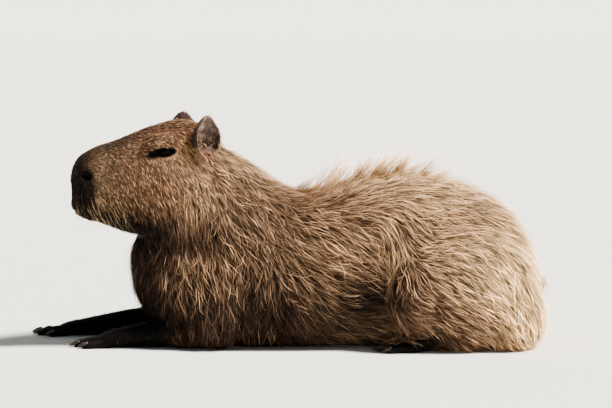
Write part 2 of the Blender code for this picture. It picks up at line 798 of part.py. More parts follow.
def lock_roots(body, draw):
    """Roots spread evenly over the coat, no two closer than the spacing."""
    faces = [face for face in body.data.polygons if face.normal.z > LOCK_UPWARD]
    areas = np.array([face.area for face in faces])
    picks = draw.choice(len(faces), LOCK_TRIES, p=areas / areas.sum())
    roots = []
    for pick in picks:
        corners = [body.data.vertices[k].co for k in faces[pick].vertices]
        shares = draw.dirichlet(np.ones(len(corners)))
        point = sum((corner * float(share) for corner, share in zip(corners, shares)), Vector())
        size = HEAD_LOCK_SHARE if part_name_at(point) == "head" else 1.0
        if all((point - other).length > LOCK_SPACING * min(size, kept) for other, kept in roots):
            roots.append((point, size))
    return roots


def add_locks(body, helpers):
    """Joins the locks of the coat and the crest along the back to the body."""
    draw = np.random.default_rng(LOCK_SEED)
    tree = surface_of(body)
    locks = bpy.data.collections.new("locks")
    helpers.children.link(locks)
    for root, size in lock_roots(body, draw):
        length = size * draw.uniform(*LOCK_LENGTH)
        width = size * draw.uniform(*LOCK_WIDTH)
        bend = draw.uniform(-LOCK_BEND, LOCK_BEND)
        for share in LOCK_SHARES:
            wide = width * share**LOCK_NARROWS
            stations = lock_path(tree, root, length * share, wide, LOCK_LIFT * size, bend)
            if stations:
                lock_mesh(stations, LOCK_SHAPE, wide, LOCK_THICK * size**0.5, locks)
                break
    stray = CREST_STRAYS
    for k in range(CREST_COUNT):
        x = CREST_FROM + (CREST_TO - CREST_FROM) * (k + draw.uniform(-stray, stray)) / CREST_COUNT
        start = Vector((x, draw.uniform(-CREST_SPREAD, CREST_SPREAD), REACH))
        root, normal = tree.ray_cast(start, Vector((0, 0, -1)))[:2]
        length = draw.uniform(*CREST_LENGTH)
        stands = CREST_STANDS * draw.uniform(*CREST_VARIES)
        stations = []
        place = root - normal * LOCK_SINK
        last = 0.0
        for share in (*(row[0] for row in CREST_SHAPE), 1.0):
            turn = stands * (1 - CREST_DROOP * share)
            along = (Vector((1, 0, 0)) * math.cos(turn) + normal * math.sin(turn)).normalized()
            place = place + along * (length * (share - last))
            last = share
            side = Vector((0, 1, 0))
            stations.append((place.copy(), along.cross(side), along))
        lock_mesh(stations, CREST_SHAPE, CREST_WIDTH, CREST_THICK, locks)
    union = body.modifiers.new("union", "BOOLEAN")
    union.operation = "UNION"
    union.solver = "MANIFOLD"
    union.operand_type = "COLLECTION"
    union.collection = locks
    in_order(applied(body))
    remove(*locks.objects)
    bpy.data.collections.remove(locks)


def whole_body(helpers):
    """Head, neck, torso and thighs in one surface, before it is cut on the floor."""
    pieces = [trunk(helpers), skull(helpers), *swellings(helpers)]
    body = fused("body", pieces, BODY_VOXEL, BODY_SMOOTHING, helpers)
    coated(body, CORE_SHARE)
    return thinned(body, BODY_FACES)


def cut_face(body, helpers):
    """Lids, eye sockets, nostrils and the line of the mouth."""
    add_lids(body, helpers)
    cut_eyes(body, helpers)
    cut_nose(body, helpers)
    cut_mouth(body, helpers)


def limb_ring(centre, ahead, half_width, half_height, count=12):
    """A ring square to a level direction."""
    ahead = Vector(ahead).normalized()
    across = Vector((ahead.y, -ahead.x, 0)).normalized()
    return [
        Vector(centre)
        + across * (half_width * math.cos(2 * math.pi * k / count))
        + Vector((0, 0, half_height * math.sin(2 * math.pi * k / count)))
        for k in range(count)
    ]


def toe(name, root, tip, half_width, helpers):
    """One toe from its root on the foot to its tip, arched and padded below."""
    root, tip = Vector(root), Vector(tip)
    rings = []
    for share, wide, tall in TOE_SHAPE:
        height = half_width * tall
        centre = root.lerp(tip, share)
        lift = (root.z - half_width) * (1 - share) if share < 1 else 0
        centre.z = height - SOLE + max(lift, 0)
        rings.append(limb_ring(centre, tip - root, half_width * wide, height))
    return loft(name, rings, helpers)


def foot(name, tip_x, spread, sign, stations, toes, toe_length, thick, helpers):
    """A limb lying on the floor with its toes pointing forward."""
    rings = []
    for back, out, height, half_width, half_height in eased(stations, 3):
        centre = (tip_x + back, sign * (spread + out), height * thick - SOLE)
        rings.append(limb_ring(centre, (-1, 0, 0), half_width * thick, half_height * thick))
    pieces = [loft(name, rings, helpers)]
    tips = []
    for at_root, at_tip, short, half_width in toes:
        half_width *= (1 + thick) / 2
        root = (tip_x + toe_length, sign * (spread + at_root), half_width * TOE_ARCH)
        tip = (tip_x + short, sign * (spread + at_tip), half_width)
        pieces.append(toe(name + "_toe", root, tip, half_width, helpers))
        tips.append((Vector(root), Vector(tip), half_width))
    limb = fused(name, pieces, FOOT_VOXEL, FOOT_SMOOTHING, helpers)
    thinned(limb, FOOT_FACES)
    floor_cut(limb, helpers)
    return limb, tips


def claw(name, root, tip, half_width, grow, collection):
    """A blunt hoof-like claw over the end of a toe."""
    ahead = Vector((tip.x - root.x, tip.y - root.y, 0)).normalized()
    width = half_width * CLAW_SHARE
    start = Vector((tip.x, tip.y, 0)) - ahead * (CLAW_LENGTH * CLAW_BACK)
    rings = []
    for share, wide, tall, height in CLAW_SHAPE:
        centre = start + ahead * (CLAW_LENGTH * share + (grow if share else -grow))
        centre.z = height
        rings.append(limb_ring(centre, ahead, width * wide + grow, width * tall + grow, CLAW_SIDES))
    return loft(name, rings, collection)


def ear_axes(side, sign):
    """An ear's root, and the ways up it, out of its cup and backwards across it."""
    ahead, outward, upward = EAR_LEAN[side]
    up = head_turn(ahead, sign * outward, upward).normalized()
    opens = head_turn(EAR_OPENS[0], sign * EAR_OPENS[1], EAR_OPENS[2])
    opens = (opens - up * opens.dot(up)).normalized()
    forward, out, high = EAR_ROOT[side]
    return head_point(forward, sign * out, high), up, opens, up.cross(opens) * -sign


def ear_radius(share):
    """Radius of the cup at this share of its height: narrow low down, and drawn in at the top."""
    swell = math.sin(0.05 + 0.8 * math.pi * share**0.75)
    root, more = EAR_SWELL
    return EAR_RADIUS * (root + more * swell) * (1 - EAR_TIP_IN * share**5)


def ear_shape(side, sign, helpers):
    """The cup of an ear, with its root sunk in the head."""
    root, up, opens, across = ear_axes(side, sign)
    bm = bmesh.new()
    rows = []
    for i in range(EAR_STEPS + 1):
        share = i / EAR_STEPS
        radius = ear_radius(share)
        front, behind = (low + (high - low) * share for low, high in EAR_WRAP)
        row = []
        for k in range(-EAR_STEPS, EAR_STEPS + 1):
            turn = k / EAR_STEPS
            angle = math.radians(front if turn < 0 else behind) * turn
            height = EAR_HEIGHT * share * (1 - EAR_RIM_DROP * turn**2 * share)
            out = EAR_RADIUS * (EAR_OUT[0] - EAR_OUT[1] * (1 - share) ** 3)
            out -= EAR_DEEP * radius * math.cos(angle)
            place = root + up * height + across * (EAR_WIDE * radius * math.sin(angle))
            row.append(bm.verts.new(place + opens * out))
        rows.append(row)
    for first, second in zip(rows, rows[1:]):
        for k in range(len(first) - 1):
            bm.faces.new((first[k], first[k + 1], second[k + 1], second[k]))
    shell = object_of("ear", bm, helpers)
    solidify = shell.modifiers.new("wall", "SOLIDIFY")
    solidify.thickness = EAR_WALL
    solidify.offset = 0
    return applied(shell)


def grown(obj, amount, helpers):
    """A copy of the object with its faces moved out by an even distance."""
    bm = bmesh.new()
    bm.from_mesh(obj.data)
    bmesh.ops.triangulate(bm, faces=bm.faces)
    bm.normal_update()
    moves = [
        vertex.normal * min(vertex.calc_shell_factor(), SHARPEST) * amount
        for vertex in bm.verts
    ]
    for vertex, move in zip(bm.verts, moves):
        vertex.co += move
    # where faces fold sharply the moved surface can dip inside the first one
    return boolean(object_of(obj.name + "_grown", bm, helpers), obj, "UNION")


def finish(obj, name, surface, collection):
    """Names a node, gives it its material and moves it to the object's collection."""
    obj.name = name
    obj.data.name = name
    obj.data.materials.clear()
    obj.data.materials.append(surface)
    for old in list(obj.users_collection):
        old.objects.unlink(obj)
    collection.objects.link(obj)
    largest_body(obj)
    obj.data.shade_smooth()
    obj.data.set_sharp_from_angle(angle=SHARP_FROM)
    return obj


def part_body(body, nodes, helpers, fur):
    """Parts the whole body into head, neck, torso and the upper parts of the legs."""
    made = {}
    rest = body
    for part_name, part in (("hind_leg", HIND_PART), ("foreleg", FORE_PART)):
        for side, sign in SIDES.items():
            inside = leg_region(part, sign, -GAP / 2, helpers)
            outside = leg_region(part, sign, GAP / 2, helpers)
            leg = copy_of(rest, part_name, helpers)
            boolean(leg, inside, "INTERSECT")
            boolean(rest, outside, "DIFFERENCE")
            remove(inside, outside)
            made[f"{part_name}_{side}"] = leg
    for part_name, cut in (("head", HEAD_CUT), ("neck", NECK_CUT)):
        inside = ahead_of(cut, GAP / 2, helpers)
        outside = ahead_of(cut, -GAP / 2, helpers)
        piece = copy_of(rest, part_name, helpers)
        boolean(piece, inside, "INTERSECT")
        boolean(rest, outside, "DIFFERENCE")
        remove(inside, outside)
        made[part_name] = piece
    made["torso"] = rest
    return {name: finish(obj, name, fur, nodes) for name, obj in made.items()}


def main():
    """Builds every node."""
    for obj in list(bpy.data.objects):
        bpy.data.objects.remove(obj)
    nodes = bpy.data.collections.new("capybara")
    helpers = bpy.data.collections.new("helpers")
    bpy.context.scene.collection.children.link(nodes)
    bpy.context.scene.collection.children.link(helpers)
    fur = material("fur", FUR, 0.85)
    dark_skin = material("dark_skin", DARK_SKIN, 0.7)
    ear_skin = material("ear_skin", EAR_SKIN, 0.7)
    eye_black = material("eye_black", EYE_BLACK, 0.1)
    horn = material("horn", HORN, 0.4)

    body = whole_body(helpers)
    whole = grown(body, GAP, helpers)
    floor_cut(body, helpers)
    cut_face(body, helpers)
    add_locks(body, helpers)
    part_body(body, nodes, helpers, fur)

    for side, sign in SIDES.items():
        ear = ear_shape(side, sign, helpers)
        boolean(ear, whole, "DIFFERENCE")
        finish(ear, f"ear_{side}", ear_skin, nodes)
        eye = ellipsoid("eye", eye_place(sign), (EYE_RADIUS,) * 3, helpers, EYE_SIDES)
        finish(eye, f"eye_{side}", eye_black, nodes)

    for kind in ("fore", "hind"):
        for side, sign in SIDES.items():
            if kind == "fore":
                limb, tips = foot(
                    "forefoot", PAW_REACH[side], ARM_SPREAD[side], sign,
                    FOREARM, FORE_TOES, FORE_TOE_LENGTH, ARM_THICK[side], helpers,
                )
            else:
                limb, tips = foot(
                    "hindfoot", HIND_TIP, HIND_SPREAD, sign,
                    HIND_FOOT, HIND_TOES, HIND_TOE_LENGTH, 1.0, helpers,
                )
            boolean(limb, whole, "DIFFERENCE")
            for number, (root, tip, half_width) in enumerate(tips, 1):
                cutter = claw("claw_cutter", root, tip, half_width, GAP, helpers)
                boolean(limb, cutter, "DIFFERENCE")
                remove(cutter)
                name = f"claw_{kind}_{side}_{number}"
                finish(claw(name, root, tip, half_width, 0, helpers), name, horn, nodes)
            finish(limb, f"{kind}foot_{side}", dark_skin, nodes)

    tail = ellipsoid("tail", Matrix.Translation(TAIL_ROOT), TAIL_RADII, helpers, 12)
    boolean(tail, whole, "DIFFERENCE")
    finish(tail, "tail", dark_skin, nodes)
    remove(whole)
    bpy.data.collections.remove(helpers)


main()
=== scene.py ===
"""Looks of the lying capybara: one skin, a coat of solid tufts along its lie, eyes and claws."""

import math

import bmesh
import bpy
import numpy as np
from mathutils import Matrix, Vector
from mathutils.bvhtree import BVHTree


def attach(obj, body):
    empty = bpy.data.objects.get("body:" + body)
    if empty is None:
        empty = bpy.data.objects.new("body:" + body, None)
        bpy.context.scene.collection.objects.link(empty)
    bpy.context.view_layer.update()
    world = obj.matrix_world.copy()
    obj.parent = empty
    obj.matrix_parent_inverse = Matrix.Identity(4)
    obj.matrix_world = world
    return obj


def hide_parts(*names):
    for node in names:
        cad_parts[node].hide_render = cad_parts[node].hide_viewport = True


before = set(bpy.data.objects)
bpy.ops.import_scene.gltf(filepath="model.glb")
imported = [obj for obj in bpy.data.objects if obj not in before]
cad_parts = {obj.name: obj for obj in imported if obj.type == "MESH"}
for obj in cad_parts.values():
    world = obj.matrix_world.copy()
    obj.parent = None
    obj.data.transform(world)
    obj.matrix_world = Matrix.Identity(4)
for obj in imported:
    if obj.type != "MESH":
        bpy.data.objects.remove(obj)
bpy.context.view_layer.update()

SIDES = {"left": -1, "right": 1}
REACH = 0.8

# The neck and trunk, as stations from the head to the rump: top x and z, bottom x and z in the
# side view, half width, squareness of the section, narrowing of its upper half, and sideways.
TRUNK = (
    (-0.285, 0.430, -0.370, 0.250, 0.068, 2.2, 0.10, -0.024),
    (-0.240, 0.421, -0.380, 0.228, 0.084, 2.2, 0.10, -0.020),
    (-0.185, 0.398, -0.390, 0.185, 0.101, 2.2, 0.10, -0.015),
    (-0.135, 0.364, -0.388, 0.135, 0.117, 2.2, 0.12, -0.010),
    (-0.085, 0.329, -0.370, 0.080, 0.132, 2.2, 0.15, -0.005),
    (-0.035, 0.313, -0.315, 0.020, 0.144, 2.3, 0.18, 0.0),
    (0.015, 0.321, -0.200, -0.012, 0.152, 2.3, 0.13, 0.0),
    (0.065, 0.334, -0.060, -0.016, 0.155, 2.3, 0.07, 0.0),
    (0.125, 0.344, 0.070, -0.016, 0.153, 2.3, 0.03, 0.0),
    (0.190, 0.349, 0.180, -0.016, 0.156, 2.3, 0.05, 0.0),
    (0.260, 0.340, 0.280, -0.016, 0.158, 2.3, 0.12, 0.0),
    (0.325, 0.315, 0.365, -0.014, 0.150, 2.3, 0.20, 0.0),
    (0.380, 0.279, 0.428, -0.010, 0.132, 2.3, 0.16, 0.0),
    (0.420, 0.230, 0.457, 0.004, 0.106, 2.2, 0.10, 0.0),
    (0.448, 0.156, 0.467, 0.030, 0.066, 2.1, 0.05, 0.0),
)
# The head has its own axes: forward of the ears, out to its side, and up from the floor.
HEAD_X = -0.263
HEAD_Y = -0.020
HEAD_YAW = math.radians(18)
HEAD = (
    # forward, top z, bottom z, half width, squareness, narrowing of the upper half
    (0.2580, 0.369, 0.320, 0.026, 2.4, 0.00),
    (0.2545, 0.382, 0.300, 0.036, 2.6, 0.02),
    (0.2460, 0.396, 0.283, 0.043, 2.7, 0.05),
    (0.2285, 0.408, 0.271, 0.048, 2.7, 0.10),
    (0.2050, 0.419, 0.261, 0.051, 2.6, 0.16),
    (0.1750, 0.427, 0.251, 0.054, 2.5, 0.22),
    (0.1450, 0.438, 0.243, 0.060, 2.4, 0.26),
    (0.1150, 0.449, 0.236, 0.068, 2.3, 0.27),
    (0.0850, 0.458, 0.232, 0.074, 2.3, 0.27),
    (0.0500, 0.465, 0.234, 0.075, 2.2, 0.25),
    (0.0100, 0.463, 0.247, 0.071, 2.2, 0.20),
    (-0.0300, 0.447, 0.270, 0.062, 2.1, 0.15),
    (-0.0550, 0.417, 0.300, 0.042, 2.0, 0.10),
)
MUSCLES = (
    ((0.296, 0.104, 0.112), (0.148, 0.088, 0.142), -12),
    ((0.206, 0.136, 0.104), (0.062, 0.052, 0.092), -14),
    ((0.392, 0.098, 0.066), (0.068, 0.078, 0.092), 0),
    ((-0.262, 0.094, 0.120), (0.062, 0.052, 0.098), 22),
    ((-0.215, 0.112, 0.062), (0.058, 0.046, 0.060), 0),
    ((-0.185, 0.080, 0.205), (0.105, 0.065, 0.100), 30),
)
FACE = (
    ((0.075, 0.043, 0.298), (0.075, 0.036, 0.062)),
    ((0.222, 0.026, 0.300), (0.036, 0.027, 0.034)),
    ((0.240, 0.024, 0.352), (0.020, 0.022, 0.030)),
    ((0.088, 0.044, 0.425), (0.036, 0.020, 0.018)),
)
EYE = (0.0765, 0.0480, 0.4095)
EYE_RADIUS = 0.0145
LID = 0.0030
EYE_SLIT = (0.0225, 0.0085)
EYE_SLIT_AHEAD = 0.003
EYE_TILT = math.radians(4)
NOSTRIL = (0.2310, 0.0300, 0.361)
NOSTRIL_FACES = math.radians(48)
NOSTRIL_SIZE = (0.0090, 0.0115, 0.0100)
MOUTH = ((0.262, 0.283), (0.240, 0.287), (0.215, 0.282), (0.190, 0.272))
MOUTH_RADIUS = 0.0018

EAR_ROOT = {"left": (-0.003, 0.069, 0.401), "right": (0.003, 0.069, 0.398)}
EAR_HEIGHT = 0.080
EAR_RADIUS = 0.0250
EAR_WALL = 0.0030
EAR_WIDE = 1.06
EAR_LEAN = {"left": (-0.12, -0.12, 1.0), "right": (0.02, -0.06, 1.0)}
EAR_DEEP = 0.62
EAR_OPENS = (-0.12, 0.99, 0.05)
# How far the ear wraps round its cup, in degrees at the root and at the top: in front, behind.
EAR_WRAP = ((128, 112), (100, 66))
EAR_TREES = {}
EAR_NEAR = 0.006
EAR_TIP_IN = 0.52
EAR_STEPS = 16
EAR_RIM_DROP = 0.12

PAW_REACH = {"left": -0.512, "right": -0.604}
ARM_SPREAD = {"left": 0.088, "right": 0.072}
ARM_THICK = {"left": 1.18, "right": 1.0}
FOREARM = (
    (0.300, 0.020, 0.046, 0.034, 0.036),
    (0.245, 0.012, 0.034, 0.032, 0.029),
    (0.190, 0.006, 0.029, 0.028, 0.025),
    (0.140, 0.002, 0.0235, 0.026, 0.021),
    (0.100, 0.000, 0.019, 0.029, 0.017),
    (0.070, 0.000, 0.016, 0.029, 0.014),
    (0.052, 0.000, 0.013, 0.024, 0.011),
)
FORE_TOES = (
    (-0.024, -0.034, 0.030, 0.0085),
    (-0.009, -0.013, 0.004, 0.0100),
    (0.009, 0.010, 0.000, 0.0100),
    (0.024, 0.031, 0.018, 0.0090),
)
FORE_TOE_LENGTH = 0.070
HIND_TIP = 0.118
HIND_SPREAD = 0.152
HIND_FOOT = (
    (0.175, -0.024, 0.040, 0.028, 0.036),
    (0.130, -0.014, 0.030, 0.027, 0.027),
    (0.095, -0.005, 0.022, 0.029, 0.020),
    (0.065, 0.000, 0.016, 0.026, 0.014),
)
HIND_TOES = (
    (-0.016, -0.023, 0.014, 0.0105),
    (0.000, 0.000, 0.000, 0.0120),
    (0.017, 0.026, 0.018, 0.0105),
)
HIND_TOE_LENGTH = 0.080
SOLE = 0.003
CLAW_LENGTH = 0.022
CLAW_SHARE = 0.62
TAIL_ROOT = (0.456, 0.0, 0.120)
TAIL_RADII = (0.020, 0.017, 0.015)

BODY_VOXEL = 0.0042
LIMB_VOXEL = 0.0024

# The lie of the coat in the side view: x, z, and how steeply it points down, in degrees, from
# straight back.
LIE = np.array(
    (
        (-0.50, 0.400, -30), (-0.47, 0.340, 50), (-0.38, 0.330, 58), (-0.35, 0.370, 72),
        (-0.28, 0.400, 45), (-0.36, 0.440, -25), (-0.49, 0.290, 88), (-0.42, 0.260, 70),
        (-0.17, 0.380, 45), (-0.27, 0.300, 78), (-0.38, 0.150, 95), (-0.34, 0.080, 90),
        (-0.15, 0.270, 56), (-0.26, 0.120, 68), (-0.20, 0.080, 88), (-0.15, 0.120, 100),
        (0.030, 0.220, 32), (0.000, 0.120, 42), (0.100, 0.060, 8), (0.110, 0.125, 4),
        (0.060, 0.150, 20), (0.178, 0.200, 82), (0.176, 0.135, 98), (0.215, 0.205, 18),
        (0.080, 0.340, 4), (0.250, 0.330, 10), (0.400, 0.240, 48), (0.300, 0.150, 33),
        (0.330, 0.060, 42), (0.200, 0.110, 5), (0.455, 0.120, 70),
    )
)
LIE_SOFTNESS = 0.026

# Hair length by place, in the side view: x, z, metres.
HAIR = np.array(
    (
        (-0.50, 0.380, 0.007), (-0.49, 0.300, 0.010), (-0.44, 0.350, 0.008),
        (-0.40, 0.410, 0.011), (-0.38, 0.330, 0.012), (-0.34, 0.400, 0.011),
        (-0.29, 0.450, 0.018), (-0.40, 0.260, 0.020), (-0.30, 0.340, 0.019),
        (-0.24, 0.400, 0.022), (-0.20, 0.380, 0.036), (-0.27, 0.270, 0.042),
        (-0.37, 0.150, 0.048), (-0.34, 0.070, 0.040), (-0.15, 0.270, 0.045),
        (-0.20, 0.090, 0.052), (0.00, 0.200, 0.048), (0.05, 0.080, 0.044),
        (0.10, 0.340, 0.050), (0.25, 0.320, 0.046), (0.40, 0.240, 0.046),
        (0.30, 0.150, 0.040), (0.30, 0.040, 0.034), (0.45, 0.080, 0.042),
    )
)
SEED = 20


def material(name):
    made = bpy.data.materials.new(name)
    made.use_nodes = True
    return made, made.node_tree.nodes, made.node_tree.links


def object_of(name, bm):
    bmesh.ops.recalc_face_normals(bm, faces=bm.faces)
    mesh = bpy.data.meshes.new(name)
    bm.to_mesh(mesh)
    bm.free()
    made = bpy.data.objects.new(name, mesh)
    bpy.context.scene.collection.objects.link(made)
    return made


def applied(obj):
    bpy.context.view_layer.update()
    graph = bpy.context.evaluated_depsgraph_get()
    mesh = bpy.data.meshes.new_from_object(obj.evaluated_get(graph), depsgraph=graph)
    old = obj.data
    obj.modifiers.clear()
    obj.data = mesh
    bpy.data.meshes.remove(old)
    return obj


def remove(*objects):
    for obj in objects:
        bpy.data.objects.remove(obj)


def boolean(obj, other, operation, solver="EXACT"):
    modifier = obj.modifiers.new(operation.lower(), "BOOLEAN")
    modifier.operation = operation
    modifier.solver = solver
    modifier.object = other
    applied(obj)
    remove(other)
    return obj


def eased(stations, steps):
    rows = np.array(stations, float)
    padded = np.vstack([2 * rows[0] - rows[1], rows, 2 * rows[-1] - rows[-2]])
    out = []
    for a, b, c, d in zip(padded, padded[1:], padded[2:], padded[3:]):
        for k in range(steps):
            t = k / steps
            out.append(
                0.5
                * (
                    2 * b
                    + (c - a) * t
                    + (2 * a - 5 * b + 4 * c - d) * t**2
                    + (3 * b - a - 3 * c + d) * t**3
                )
            )
    out.append(rows[-1])
    return out


def section(half_width, squareness, taper, count):
    points = []
    for k in range(count):
        angle = 2 * math.pi * k / count
        across, high = math.cos(angle), math.sin(angle)
        across = math.copysign(abs(across) ** (2 / squareness), across)
        high = math.copysign(abs(high) ** (2 / squareness), high)
        points.append((half_width * across * (1 - taper * high), high))
    return points


def loft(name, rings):
    bm = bmesh.new()
    made = [[bm.verts.new(point) for point in ring] for ring in rings]
    count = len(rings[0])
    for first, second in zip(made, made[1:]):
        for k in range(count):
            n = (k + 1) % count
            bm.faces.new((first[k], first[n], second[n], second[k]))
    for ring in (made[0], made[-1]):
        tip = bm.verts.new(sum((vertex.co for vertex in ring), Vector()) / count)
        for k in range(count):
            bm.faces.new((ring[k], ring[(k + 1) % count], tip))
    return object_of(name, bm)


def head_point(forward, side, up):
    cos, sin = math.cos(HEAD_YAW), math.sin(HEAD_YAW)
    return Vector(
        (HEAD_X - forward * cos - side * sin, HEAD_Y - forward * sin + side * cos, up)
    )


def head_turn(forward, side, up):
    return head_point(forward, side, up) - head_point(0, 0, 0)


def head_matrix(forward, side, up):
    turn = Matrix.Rotation(HEAD_YAW, 4, "Z") @ Matrix.Diagonal((-1, -1, 1, 1))
    return Matrix.Translation(head_point(forward, side, up)) @ turn


def ellipsoid(name, matrix, radii, segments=32):
    bm = bmesh.new()
    bmesh.ops.create_uvsphere(bm, u_segments=segments, v_segments=segments // 2, radius=1.0)
    bmesh.ops.transform(bm, matrix=matrix @ Matrix.Diagonal((*radii, 1.0)), verts=bm.verts)
    return object_of(name, bm)


def trunk(steps=6, around=64):
    rings = []
    for top_x, top_z, low_x, low_z, width, square, taper, side in eased(TRUNK, steps):
        ring = []
        for across, high in section(width, square, taper, around):
            share = (high + 1) / 2
            ring.append(
                (
                    low_x + (top_x - low_x) * share,
                    side + across,
                    low_z + (top_z - low_z) * share,
                )
            )
        rings.append(ring)
    return loft("trunk", rings)


def skull(steps=6, around=64):
    rings = []
    for forward, top, low, width, square, taper in eased(HEAD, steps):
        middle, half = (top + low) / 2, (top - low) / 2
        rings.append(
            [
                head_point(forward, across, middle + half * high)
                for across, high in section(width, square, taper, around)
            ]
        )
    return loft("skull", rings)


def fused(name, pieces, voxel, smoothing):
    bm = bmesh.new()
    for piece in pieces:
        bm.from_mesh(piece.data)
    made = object_of(name, bm)
    remove(*pieces)
    remesh = made.modifiers.new("remesh", "REMESH")
    remesh.mode = "VOXEL"
    remesh.voxel_size = voxel
    smooth = made.modifiers.new("smooth", "SMOOTH")
    smooth.factor = 0.5
    smooth.iterations = smoothing
    return applied(made)


def limb_ring(centre, ahead, half_width, half_height, count=20):
    ahead = Vector(ahead).normalized()
    across = Vector((ahead.y, -ahead.x, 0)).normalized()
    return [
        Vector(centre)
        + across * (half_width * math.cos(2 * math.pi * k / count))
        + Vector((0, 0, half_height * math.sin(2 * math.pi * k / count)))
        for k in range(count)
    ]


def toe(root, tip, half_width):
    root, tip = Vector(root), Vector(tip)
    shares = (
        (-0.12, 0.80, 0.9), (0.15, 0.95, 1.0), (0.45, 0.92, 0.9), (0.72, 1.0, 0.8),
        (0.90, 0.86, 0.66), (1.0, 0.45, 0.34),
    )
    rings = []
    for share, wide, tall in shares:
        height = half_width * tall
        centre = root.lerp(tip, share)
        lift = (root.z - half_width) * (1 - share) if share < 1 else 0
        centre.z = height - SOLE + max(lift, 0)
        rings.append(limb_ring(centre, tip - root, half_width * wide, height))
    return loft("toe", rings)


def foot(tip_x, spread, sign, stations, toes, toe_length, thick):
    rings = []
    for back, out, height, half_width, half_height in eased(stations, 4):
        centre = (tip_x + back, sign * (spread + out), height * thick - SOLE)
        rings.append(limb_ring(centre, (-1, 0, 0), half_width * thick, half_height * thick))
    pieces = [loft("limb", rings)]
    tips = []
    for at_root, at_tip, short, half_width in toes:
        half_width *= (1 + thick) / 2
        root = (tip_x + toe_length, sign * (spread + at_root), half_width * 1.25)
        tip = (tip_x + short, sign * (spread + at_tip), half_width)
        pieces.append(toe(root, tip, half_width))
        tips.append((Vector(root), Vector(tip), half_width))
    return fused("limb", pieces, LIMB_VOXEL, 4), tips


def claw(name, root, tip, half_width):
    ahead = Vector((tip.x - root.x, tip.y - root.y, 0)).normalized()
    width = half_width * CLAW_SHARE
    start = Vector((tip.x, tip.y, 0)) - ahead * (CLAW_LENGTH * 0.55)
    shares = (
        (0.0, 0.75, 0.60, 0.0105), (0.35, 1.0, 0.75, 0.0090), (0.7, 0.86, 0.55, 0.0066),
        (0.92, 0.55, 0.34, 0.0046), (1.0, 0.24, 0.15, 0.0040),
    )
    rings = []
    for share, wide, tall, height in eased(shares, 3):
        centre = start + ahead * (CLAW_LENGTH * share)
        centre.z = height
        rings.append(limb_ring(centre, ahead, width * wide, width * tall, 16))
    return loft(name, rings)


def ear_axes(side, sign):
    """An ear's root, and the ways up it, out of its cup and backwards across it."""
    ahead, outward, upward = EAR_LEAN[side]
    up = head_turn(ahead, sign * outward, upward).normalized()
    opens = head_turn(EAR_OPENS[0], sign * EAR_OPENS[1], EAR_OPENS[2])
    opens = (opens - up * opens.dot(up)).normalized()
    forward, out, high = EAR_ROOT[side]
    return head_point(forward, sign * out, high), up, opens, up.cross(opens) * -sign


def ear_shape(side, sign):
    root, up, opens, across = ear_axes(side, sign)
    bm = bmesh.new()
    rows = []
    for i in range(EAR_STEPS + 1):
        share = i / EAR_STEPS
        radius = EAR_RADIUS * (0.48 + 0.70 * math.sin(0.05 + 0.8 * math.pi * share**0.75))
        radius *= 1 - EAR_TIP_IN * share**5
        front, behind = (low + (high - low) * share for low, high in EAR_WRAP)
        row = []
        for k in range(-EAR_STEPS, EAR_STEPS + 1):
            turn = k / EAR_STEPS
            angle = math.radians(front if turn < 0 else behind) * turn
            height = EAR_HEIGHT * share * (1 - EAR_RIM_DROP * turn**2 * share)
            # a small nick beside the tip
            height -= 0.0035 * share**8 * math.exp(-(((turn - 0.16) / 0.07) ** 2))
            out = EAR_RADIUS * (0.25 - 0.35 * (1 - share) ** 3)
            out -= EAR_DEEP * radius * math.cos(angle)
            place = root + up * height + across * (EAR_WIDE * radius * math.sin(angle))
            row.append(bm.verts.new(place + opens * out))
        rows.append(row)
    for first, second in zip(rows, rows[1:]):
        for k in range(len(first) - 1):
            bm.faces.new((first[k], first[k + 1], second[k + 1], second[k]))
    shell = object_of("ear", bm)
    solidify = shell.modifiers.new("wall", "SOLIDIFY")
    solidify.thickness = EAR_WALL
    solidify.offset = 0
    applied(shell)
    return shell


def eye_place(sign):
    forward, side, up = EYE
    return head_matrix(forward, sign * side, up) @ Matrix.Rotation(EYE_TILT, 4, "Y")


def surface_of(obj):
    return BVHTree.FromObject(obj, bpy.context.evaluated_depsgraph_get())


def cut_face(body):
    for sign in SIDES.values():
        radius = EYE_RADIUS + LID
        boolean(body, ellipsoid("lids", eye_place(sign), (radius * 1.25, radius, radius)), "UNION")
    smooth_eyes(body)
    for sign in SIDES.values():
        place = eye_place(sign)
        boolean(body, ellipsoid("socket", place, (EYE_RADIUS + 0.0002,) * 3, 40), "DIFFERENCE")
        slit = place @ Matrix.Translation((EYE_SLIT_AHEAD, -sign * EYE_RADIUS, 0))
        length, height = EYE_SLIT
        boolean(body, ellipsoid("slit", slit, (length, EYE_RADIUS, height), 36), "DIFFERENCE")
    tree = surface_of(body)
    forward, side, up = NOSTRIL
    for sign in SIDES.values():
        faces = (math.cos(NOSTRIL_FACES), sign * math.sin(NOSTRIL_FACES))
        start = head_point(forward + faces[0] * REACH, sign * side + faces[1] * REACH, up)
        point = tree.ray_cast(start, head_turn(-faces[0], -faces[1], 0))[0]
        turn = Matrix.Rotation(-sign * NOSTRIL_FACES, 4, "Z")
        place = Matrix.Translation(point) @ head_matrix(0, 0, 0).to_3x3().to_4x4() @ turn
        boolean(body, ellipsoid("nostril", place, NOSTRIL_SIZE, 24), "DIFFERENCE")


